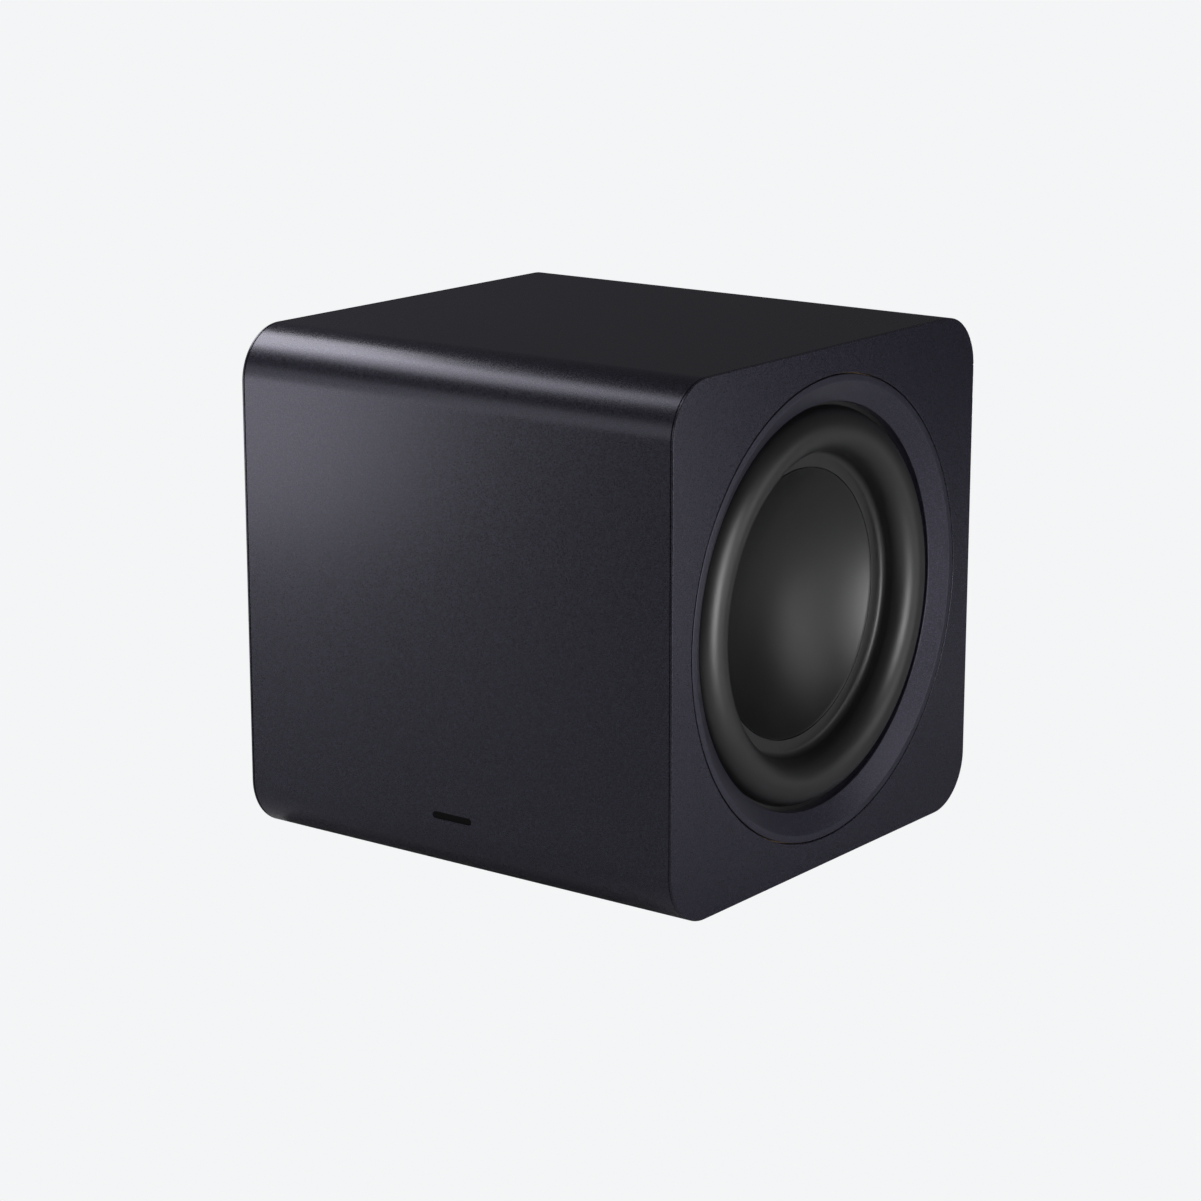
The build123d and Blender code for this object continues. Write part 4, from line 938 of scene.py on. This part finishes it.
# ------------------------------------------------------------------------------ drivers
@dataclass
class Driver:
    """One side of the cabinet: its panel, trim ring, rubber surround, dish and motor."""

    shop: Workshop
    side: Side
    steps: int = 192
    corner_radius: float = 26.0 * MM
    corner_segments: int = 28
    panel_rounding: float = 0.30 * MM
    panel_thickness: float = 3.5 * MM
    panel_lip: float = 1.0 * MM
    rim_outer: float = 2.5 * MM
    rim_inner: float = 11.5 * MM
    core_inset: float = 12.3 * MM
    seam_gap: float = 0.4 * MM
    hole_rounding: float = 0.4 * MM
    trim_gap: float = 0.6 * MM
    trim_lip: float = 3.2 * MM
    trim_drop: float = 5.8 * MM
    trim_shell: float = 3.4 * MM
    trim_seat: float = 3.45 * MM
    trim_edge: float = 0.5 * MM
    skirt_wall: float = 2.7 * MM
    skirt_step: float = 0.3 * MM
    rubber: float = 1.2 * MM
    roll_radius: float = 10.9 * MM
    roll_drop: float = 0.5 * MM
    surround_foot: float = 4.6 * MM
    roll_toe: float = 0.9 * MM
    fillet: float = 3.4 * MM
    fillet_lap: float = 0.25 * MM
    dish_gap: float = 0.4 * MM
    edge_fall: float = 0.15 * MM
    heel: float = 0.6 * MM
    heel_rise: float = 0.9 * MM
    glued_inside: float = 9.5 * MM
    held_outside: float = 5.0 * MM
    dish_thickness: float = 1.4 * MM
    dish_edge: float = 0.85 * MM
    spider_steps: int = 96
    spider_start: float = 30.0 * MM
    spider_pitch: float = 5.6 * MM
    spider_rolls: int = 5
    spider_half: float = 0.4 * MM
    spider_middle: float = 3.2 * MM
    former_gap: float = 0.3 * MM
    spider_held: float = 58.0 * MM
    braid_radius: float = 0.7 * MM

    def __post_init__(self) -> None:
        """Work out the driver's axis and the places that its pieces share."""
        self.name = self.side.label
        low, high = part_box(self.node("trim_ring"))
        self.axis = Turning(
            Vector((0.0, 0.0, (low.z + high.z) / 2.0)),
            Vector((float(self.side.value), 0.0, 0.0)),
            Vector((0.0, 0.0, 1.0)),
        )
        self.face = self.outermost("side_panel")
        self.trim_outer = (high.z - low.z) / 2.0
        self.flange_front = self.outermost("driver_frame")

    def node(self, part: str) -> str:
        """Return the CAD node's name of a part on this side."""
        return f"{part}_{self.name}"

    def outermost(self, part: str) -> float:
        """Return how far out a part reaches."""
        low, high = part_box(self.node(part))
        return high.x if self.side is Side.RIGHT else -low.x

    def innermost(self, part: str) -> float:
        """Return how far out a part starts."""
        low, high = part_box(self.node(part))
        return low.x if self.side is Side.RIGHT else -high.x

    def reach(self, part: str) -> float:
        """Return a round part's largest radius."""
        low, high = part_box(self.node(part))
        return (high.z - low.z) / 2.0

    @property
    def cone_body(self) -> str:
        """The body that the cone and all that is glued to it ride on."""
        return f"cone_{self.name}"

    def build(self) -> None:
        """Build every piece of this side."""
        self.build_panel()
        self.build_trim()
        self.build_surround()
        self.build_dish()
        self.build_spider()
        for part in ("baffle", "driver_frame", "frame_gasket", "magnet", "top_plate", "yoke"):
            self.shop.dress(self.node(part))
        for part in ("cone", "voice_coil_former", "voice_coil", "terminal_strip", "speaker_lead"):
            self.shop.dress(self.node(part))
        self.build_tinsel()

    def build_panel(self) -> None:
        """Build the flat panel: a thin lip over the wrap's end, a rim, a core and the driver's hole."""
        node = self.node("side_panel")
        wrap_low, wrap_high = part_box("cabinet_wrap")
        back = self.face - self.panel_thickness
        lip = self.face - self.panel_lip
        seam = lip - self.seam_gap
        piece = Piece(f"panel_skin_{self.name}")

        def outline(out: float, inset: float) -> list[bmesh.types.BMEdge]:
            """Return the panel's outline at a distance out, set in by an inset."""
            step = Vector((0.0, inset, inset))
            low, high = wrap_low + step, wrap_high - step
            rounding = self.corner_radius - inset
            x = out * self.side.value
            return piece.rectangle("X", x, low, high, rounding, self.corner_segments)

        hole = self.trim_outer + self.trim_gap
        rounding = rounded_edge(self.panel_rounding)
        hole_edge = rounded_edge(self.hole_rounding)
        outer = [outline(self.face - depth, inset) for inset, depth in rounding]
        outer.append(outline(lip, 0.0))
        rim_outer = [outline(out, self.rim_outer) for out in (lip, seam)]
        rim_inner = [outline(out, self.rim_inner) for out in (seam, lip)]
        core = [outline(out, self.core_inset) for out in (lip, back)]
        places = [(hole + inset, self.face - depth) for inset, depth in hole_edge] + [(hole, back)]
        bore = [piece.circle(self.axis, radius, out, self.steps) for radius, out in places]
        for loops in (outer, rim_outer, rim_inner, core, bore):
            piece.walls(loops)
        piece.fill(outer[0], bore[0])
        piece.fill(outer[-1], rim_outer[0])
        piece.fill(rim_outer[-1], rim_inner[0])
        piece.fill(rim_inner[-1], core[0])
        piece.fill(core[-1], bore[-1])
        made = piece.done(self.shop.material(node))
        self.shop.stand_for(made, CABINET_BODY, node)

    def build_trim(self) -> None:
        """Build the ring: a flat lip, a cone face going in and the skirt behind it."""
        node = self.node("trim_ring")
        skirt_outer = self.reach("surround")
        inner = skirt_outer - self.skirt_wall
        lip_start = self.trim_outer - self.trim_lip
        inner_out = self.face - self.trim_drop
        slope = self.trim_drop / (lip_start - inner)
        shell_back = inner_out + slope * (skirt_outer - inner) - self.trim_shell
        seat = self.face - self.trim_seat
        skirt_back = self.flange_front + self.rubber + GLUE_LINE
        skirt_inner = inner + self.skirt_step
        section = [
            Corner(skirt_outer, skirt_back),
            Corner(skirt_inner, skirt_back),
            Corner(skirt_inner, inner_out - self.trim_edge - 0.4 * MM),
            Corner(inner, inner_out - self.trim_edge),
            Corner(inner, inner_out, 0.35 * MM),
            Corner(lip_start, self.face, 0.5 * MM),
            Corner(self.trim_outer, self.face, 0.4 * MM),
            Corner(self.trim_outer, seat),
            Corner(lip_start, seat),
            Corner(skirt_outer, shell_back),
        ]
        piece = Piece(f"trim_skin_{self.name}")
        piece.turn(section, self.axis, self.steps)
        made = piece.done(self.shop.material(node))
        self.shop.stand_for(made, CABINET_BODY, node)

    def surround_section(self) -> list[Corner]:
        """Return the rubber's half section, the outside first and then the inside back."""
        foot = self.reach("surround")
        outer_leg = foot - self.surround_foot
        middle = (outer_leg - self.roll_radius, self.flange_front - self.roll_drop)
        inner_leg = middle[0] - self.roll_radius
        flange = self.innermost("surround")
        edge = self.reach("dish") + self.dish_gap
        top = flange + self.rubber
        inside = self.roll_radius - self.rubber
        foot_top = self.flange_front + self.rubber
        fillet_middle = (inner_leg - self.fillet + self.fillet_lap, top + self.fillet)
        outside = [
            Corner(foot, self.flange_front),
            Corner(foot, foot_top, 0.3 * MM),
            Corner(outer_leg + self.roll_toe, foot_top),
            *arc(middle, self.roll_radius, 10.0, 176.0, 40),
            *arc(fillet_middle, self.fillet, -8.0, -86.0, 10),
            Corner(edge, top - self.edge_fall, 0.25 * MM),
            Corner(edge, flange),
            Corner(inner_leg - self.heel, flange),
            Corner(inner_leg + self.rubber, flange + self.heel_rise),
        ]
        inner_face = arc(middle, inside, 178.0, 6.0, 30)
        return [*outside, *inner_face, Corner(outer_leg - self.rubber, self.flange_front)]

    def build_surround(self) -> None:
        """Build the half roll that spans from the flange to the cone."""
        node = self.node("surround")
        piece = Piece(f"rubber_roll_{self.name}")
        piece.turn(self.surround_section(), self.axis, self.steps)
        made = piece.done(self.shop.material(node), weighted=False)
        inner = self.reach("dish") + self.glued_inside
        outer = self.reach("surround") - self.held_outside
        self.stretch(made, lambda point: (outer - self.axis.measure(point)[0]) / (outer - inner))
        self.shop.record(made, node)

    def stretch(self, made: bpy.types.Object, share: Callable[[Vector], float]) -> None:
        """Bake a piece's transform into its mesh and work out each point's smoothed share of the cone's
        motion; the shares are not stored, so the piece does not bend.

        Args:
            made: the finished piece, with no parent.
            share: how far each point would go with the cone, from 0 to 1, before it is smoothed.
        """
        start = self.axis.at(self.reach("surround"), self.flange_front)
        end = self.axis.at(self.reach("dish"), self.flange_front)
        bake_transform(made)
        for vertex in made.data.vertices:
            held = min(1.0, max(0.0, share(vertex.co)))
            held * held * (3.0 - 2.0 * held)

    def build_dish(self) -> None:
        """Build the concave dish with a thin turned-down edge."""
        node = self.node("dish")
        edge = self.reach("dish")
        rim_out = self.outermost("dish")
        centre_out = self.innermost("dish") + self.dish_thickness
        sag = rim_out - centre_out
        ball = (edge**2 + sag**2) / (2.0 * sag)
        middle = (0.0, centre_out + ball)
        half_angle = math.degrees(math.asin(edge / ball))
        lip = self.innermost("surround") - GLUE_LINE
        inner_edge = edge - self.dish_edge
        back_ball = ball + self.dish_thickness
        back_angle = math.degrees(math.asin(inner_edge / back_ball))
        front = arc(middle, ball, -90.0, -90.0 + half_angle, 48)
        front[-1] = Corner(edge, rim_out, 0.3 * MM)
        back = arc(middle, back_ball, -90.0 + back_angle, -90.0, 24)
        section = [*front, Corner(edge, lip), Corner(inner_edge, lip), *back]
        piece = Piece(f"dish_skin_{self.name}")
        piece.turn(section, self.axis, self.steps, closed=False)
        made = piece.done(self.shop.material(node), weighted=False)
        self.shop.stand_for(made, self.cone_body, node)

    def build_spider(self) -> None:
        """Build the corrugated cloth disc."""
        node = self.node("spider")
        middle_out = self.innermost("spider") + self.spider_middle
        inner = self.reach("voice_coil_former") + self.former_gap
        outer = self.reach("spider")
        pitch, half = self.spider_pitch, self.spider_half
        wave = []
        for number in range(self.spider_rolls):
            middle = self.spider_start + (number + 0.5) * pitch
            turn_way = -1.0 if number % 2 == 0 else 1.0
            for step in range(9):
                angle = math.radians(180.0 - 22.5 * step)
                rise = turn_way * math.sin(angle) * pitch / 2.0
                wave.append((middle + math.cos(angle) * pitch / 2.0, middle_out + rise))
        line = [(inner, middle_out), *wave, (outer, middle_out)]
        piece = Piece(f"spider_cloth_{self.name}")
        upper = [Corner(radius, out + half) for radius, out in line]
        lower = [Corner(radius, out - half) for radius, out in reversed(line)]
        piece.turn([*upper, *lower], self.axis, self.spider_steps)
        made = piece.done(self.shop.material(node), weighted=False)
        held = self.spider_held
        self.stretch(made, lambda point: (held - self.axis.measure(point)[0]) / (held - inner))
        self.shop.record(made, node)

    def build_tinsel(self) -> None:
        """Build the two braided leads between the terminal strip and the cone."""
        node = self.node("tinsel_leads")
        low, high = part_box(node)
        radius = self.braid_radius
        far, near = high.y - radius, low.y + radius
        base, top = self.innermost("tinsel_leads"), self.outermost("tinsel_leads") - radius
        piece = Piece(f"tinsel_braid_{self.name}")
        for z in (low.z + radius, high.z - radius):
            route = [
                Vector((base, far, z)),
                Vector((base + (top - base) * 0.75, far, z)),
                Vector((top, far - 7.0 * MM, z)),
                Vector((top - 1.6 * MM, (far + near) / 2.0, z)),
                Vector((top - 5.9 * MM, near, z)),
            ]
            for point in route:
                point.x *= self.side.value
            self.sweep(piece, route, radius)
        made = piece.done(self.shop.material(node), weighted=False)
        self.stretch(made, lambda point: (far - point.y) / (far - near - 4.0 * MM))
        self.shop.record(made, node)

    @staticmethod
    def sweep(piece: Piece, route: Sequence[Vector], radius: float) -> None:
        """Add a smooth round wire along a route.

        Args:
            piece: the piece that the wire is added to.
            route: the control points of its centre line.
            radius: the wire's radius.
        """
        curve = bpy.data.curves.new("wire_route", "CURVE")
        curve.dimensions = "3D"
        curve.bevel_depth = radius
        curve.bevel_resolution = 4
        curve.use_fill_caps = True
        spline = curve.splines.new("NURBS")
        spline.points.add(len(route) - 1)
        for point, place in zip(spline.points, route):
            point.co = (*place, 1.0)
        spline.order_u = 3
        spline.use_endpoint_u = True
        spline.resolution_u = 10
        holder = bpy.data.objects.new("wire_route", curve)
        bpy.context.scene.collection.objects.link(holder)
        graph = bpy.context.evaluated_depsgraph_get()
        data = bpy.data.meshes.new_from_object(holder.evaluated_get(graph))
        piece.mesh.from_mesh(data)
        bpy.data.objects.remove(holder)
        bpy.data.curves.remove(curve)
        bpy.data.meshes.remove(data)


# ------------------------------------------------------------------------------ rear panel
@dataclass
class RearPanel:
    """The panel in the back, with its screws, mains inlet, pairing button and status lens."""

    shop: Workshop
    cap_radius: float = 4.0 * MM
    stem_radius: float = 1.6 * MM
    stem_length: float = 3.0 * MM
    flange_thickness: float = 1.0 * MM

    def build(self) -> None:
        """Build the button and dress the rest."""
        self.build_button()
        for node in ("rear_panel", "rear_gasket", "rear_screws", "mains_inlet", "inlet_pins"):
            self.shop.dress(node)
        for node in ("status_lens", "switch_actuator", "tact_switch", "status_led", "driver_screws"):
            self.shop.dress(node)

    def build_button(self) -> None:
        """Build the button with a domed top and its flange and stem."""
        low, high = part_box("pairing_button")
        centre = Vector(((low.x + high.x) / 2.0, low.y, (low.z + high.z) / 2.0))
        axis = Turning(centre, Vector((0.0, 1.0, 0.0)), Vector((0.0, 0.0, 1.0)))
        length = high.y - low.y
        cap, flange, stem = self.cap_radius, (high.z - low.z) / 2.0, self.stem_radius
        flange_front = self.stem_length + self.flange_thickness
        section = [
            Corner(0.0, 0.0),
            Corner(stem, 0.0),
            Corner(stem, self.stem_length),
            Corner(flange, self.stem_length),
            Corner(flange, flange_front),
            Corner(cap, flange_front),
            Corner(cap, length - 0.15 * MM, 0.35 * MM),
            Corner(cap * 0.55, length - 0.03 * MM),
            Corner(0.0, length),
        ]
        piece = Piece("button_cap")
        piece.turn(section, axis, 64, closed=False)
        made = piece.done(self.shop.material("pairing_button"))
        self.shop.stand_for(made, BUTTON_BODY, "pairing_button")


@dataclass
class Electronics:
    """The boards and the large parts on them, inside the cabinet."""

    shop: Workshop
    nodes: tuple[str, ...] = (
        "control_board",
        "amplifier_board",
        "board_standoffs",
        "board_screws",
        "transformer_core",
        "transformer_winding",
        "filter_capacitors",
        "output_inductors",
        "heatsink",
        "wireless_module",
    )

    def build(self) -> None:
        """Give every board and part its finish."""
        for node in self.nodes:
            self.shop.dress(node)


# ------------------------------------------------------------------------------ studio
@dataclass(frozen=True)
class SoftBox:
    """One rectangular soft light, aimed at a point."""

    name: str
    place: Colour
    aim: Colour
    width: float
    height: float
    power: float

    def build(self) -> None:
        """Hang the light."""
        data = bpy.data.lights.new(self.name, "AREA")
        data.shape = "RECTANGLE"
        data.size = self.width
        data.size_y = self.height
        data.energy = self.power
        lamp = bpy.data.objects.new(self.name, data)
        lamp.visible_camera = False
        lamp.location = self.place
        lamp.rotation_mode = "QUATERNION"
        lamp.rotation_quaternion = (Vector(self.aim) - Vector(self.place)).to_track_quat("-Z", "Y")
        bpy.context.scene.collection.objects.link(lamp)


@dataclass
class Studio:
    """The pale floor, the soft lights and the camera."""

    azimuth: float = 36.89
    pitch: float = 13.99
    lens: float = 100.13
    sensor: float = 36.0
    camera_place: Colour = (0.9374, -1.2592, 0.5029)
    floor_size: float = 14.0
    backdrop: Colour = (0.905, 0.913, 0.921)
    fill: float = 0.06

    def build(self) -> None:
        """Set up the floor, the surroundings, the lights and the camera."""
        self.build_floor()
        self.build_world()
        for box in self.lights():
            box.build()
        self.build_camera()
        settings = bpy.context.scene.view_settings
        settings.view_transform = "Standard"
        settings.look = "None"

    @staticmethod
    def lights() -> list[SoftBox]:
        """Return the soft lights."""
        middle = (0.0, 0.0, 0.13)
        driver = (0.12, 0.0, 0.13)
        return [
            SoftBox("front_left_near", (-0.46, -0.48, 0.14), middle, 0.20, 0.20, 0.36),
            SoftBox("front_left_far", (-0.79, -1.12, 0.42), middle, 0.80, 0.50, 1.2),
            SoftBox("high_left_near", (-0.38, -0.10, 0.52), middle, 0.20, 0.20, 0.75),
            SoftBox("high_left_far", (-0.72, -0.42, 1.13), middle, 0.40, 0.40, 1.7),
            SoftBox("right_near", (0.55, -0.11, 0.15), driver, 0.14, 0.32, 1.0),
            SoftBox("right_back", (0.55, 0.25, 0.12), driver, 0.20, 0.30, 0.22),
            SoftBox("behind", (0.0, 1.0, 0.13), middle, 0.20, 0.20, 2.4),
        ]

    def build_floor(self) -> None:
        """Lay the floor: one pale tone to the eye, and pale matt paint to the light it throws back."""
        piece = Piece("studio_floor")
        bmesh.ops.create_grid(piece.mesh, x_segments=1, y_segments=1, size=self.floor_size)
        tree = NodeTree("studio_floor")
        pale = tree.node("ShaderNodeEmission", {}, {"Color": self.backdrop, "Strength": 1.0})
        dim = tree.node("ShaderNodeBsdfDiffuse", {}, {"Color": (0.80, 0.80, 0.81)})
        seen = tree.node("ShaderNodeLightPath", {}, {}).outputs["Is Camera Ray"]
        mixed = tree.node("ShaderNodeMixShader", {}, {0: seen, 1: dim.outputs[0], 2: pale.outputs[0]})
        tree.node("ShaderNodeOutputMaterial", {}, {"Surface": mixed.outputs[0]})
        made = piece.done(tree.material, weighted=False)

    def build_world(self) -> None:
        """Surround the scene with a pale sky that fills shadows only a little."""
        world = bpy.data.worlds.new("studio")
        bpy.context.scene.world = world
        world.use_nodes = True
        nodes, links = world.node_tree.nodes, world.node_tree.links
        nodes.clear()
        seen = nodes.new("ShaderNodeLightPath").outputs["Is Camera Ray"]
        pale = nodes.new("ShaderNodeBackground")
        pale.inputs[0].default_value = (*self.backdrop, 1.0)
        dim = nodes.new("ShaderNodeBackground")
        dim.inputs[0].default_value = (1.0, 1.0, 1.03, 1.0)
        dim.inputs[1].default_value = self.fill
        mix = nodes.new("ShaderNodeMixShader")
        output = nodes.new("ShaderNodeOutputWorld")
        links.new(seen, mix.inputs[0])
        links.new(dim.outputs[0], mix.inputs[1])
        links.new(pale.outputs[0], mix.inputs[2])
        links.new(mix.outputs[0], output.inputs[0])

    def build_camera(self) -> None:
        """Place the camera, looking down a little from the right of the front."""
        data = bpy.data.cameras.new("studio_camera")
        data.lens = self.lens
        data.sensor_width = self.sensor
        camera = bpy.data.objects.new("studio_camera", data)
        turn, tilt = math.radians(self.azimuth), math.radians(self.pitch)
        back = Vector(
            (math.sin(turn) * math.cos(tilt), -math.cos(turn) * math.cos(tilt), math.sin(tilt))
        )
        camera.location = self.camera_place
        camera.rotation_mode = "QUATERNION"
        camera.rotation_quaternion = (-back).to_track_quat("-Z", "Y")
        bpy.context.scene.collection.objects.link(camera)
        bpy.context.scene.camera = camera


def main() -> None:
    """Load the frame and build the looks round it."""
    logging.basicConfig(level=logging.INFO, format="%(message)s")
    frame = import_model()
    shop = Workshop(frame)
    Studio().build()
    Cabinet(shop).build()
    for side in Side:
        Driver(shop, side).build()
    RearPanel(shop).build()
    Electronics(shop).build()


if __name__ == "__main__":
    main()
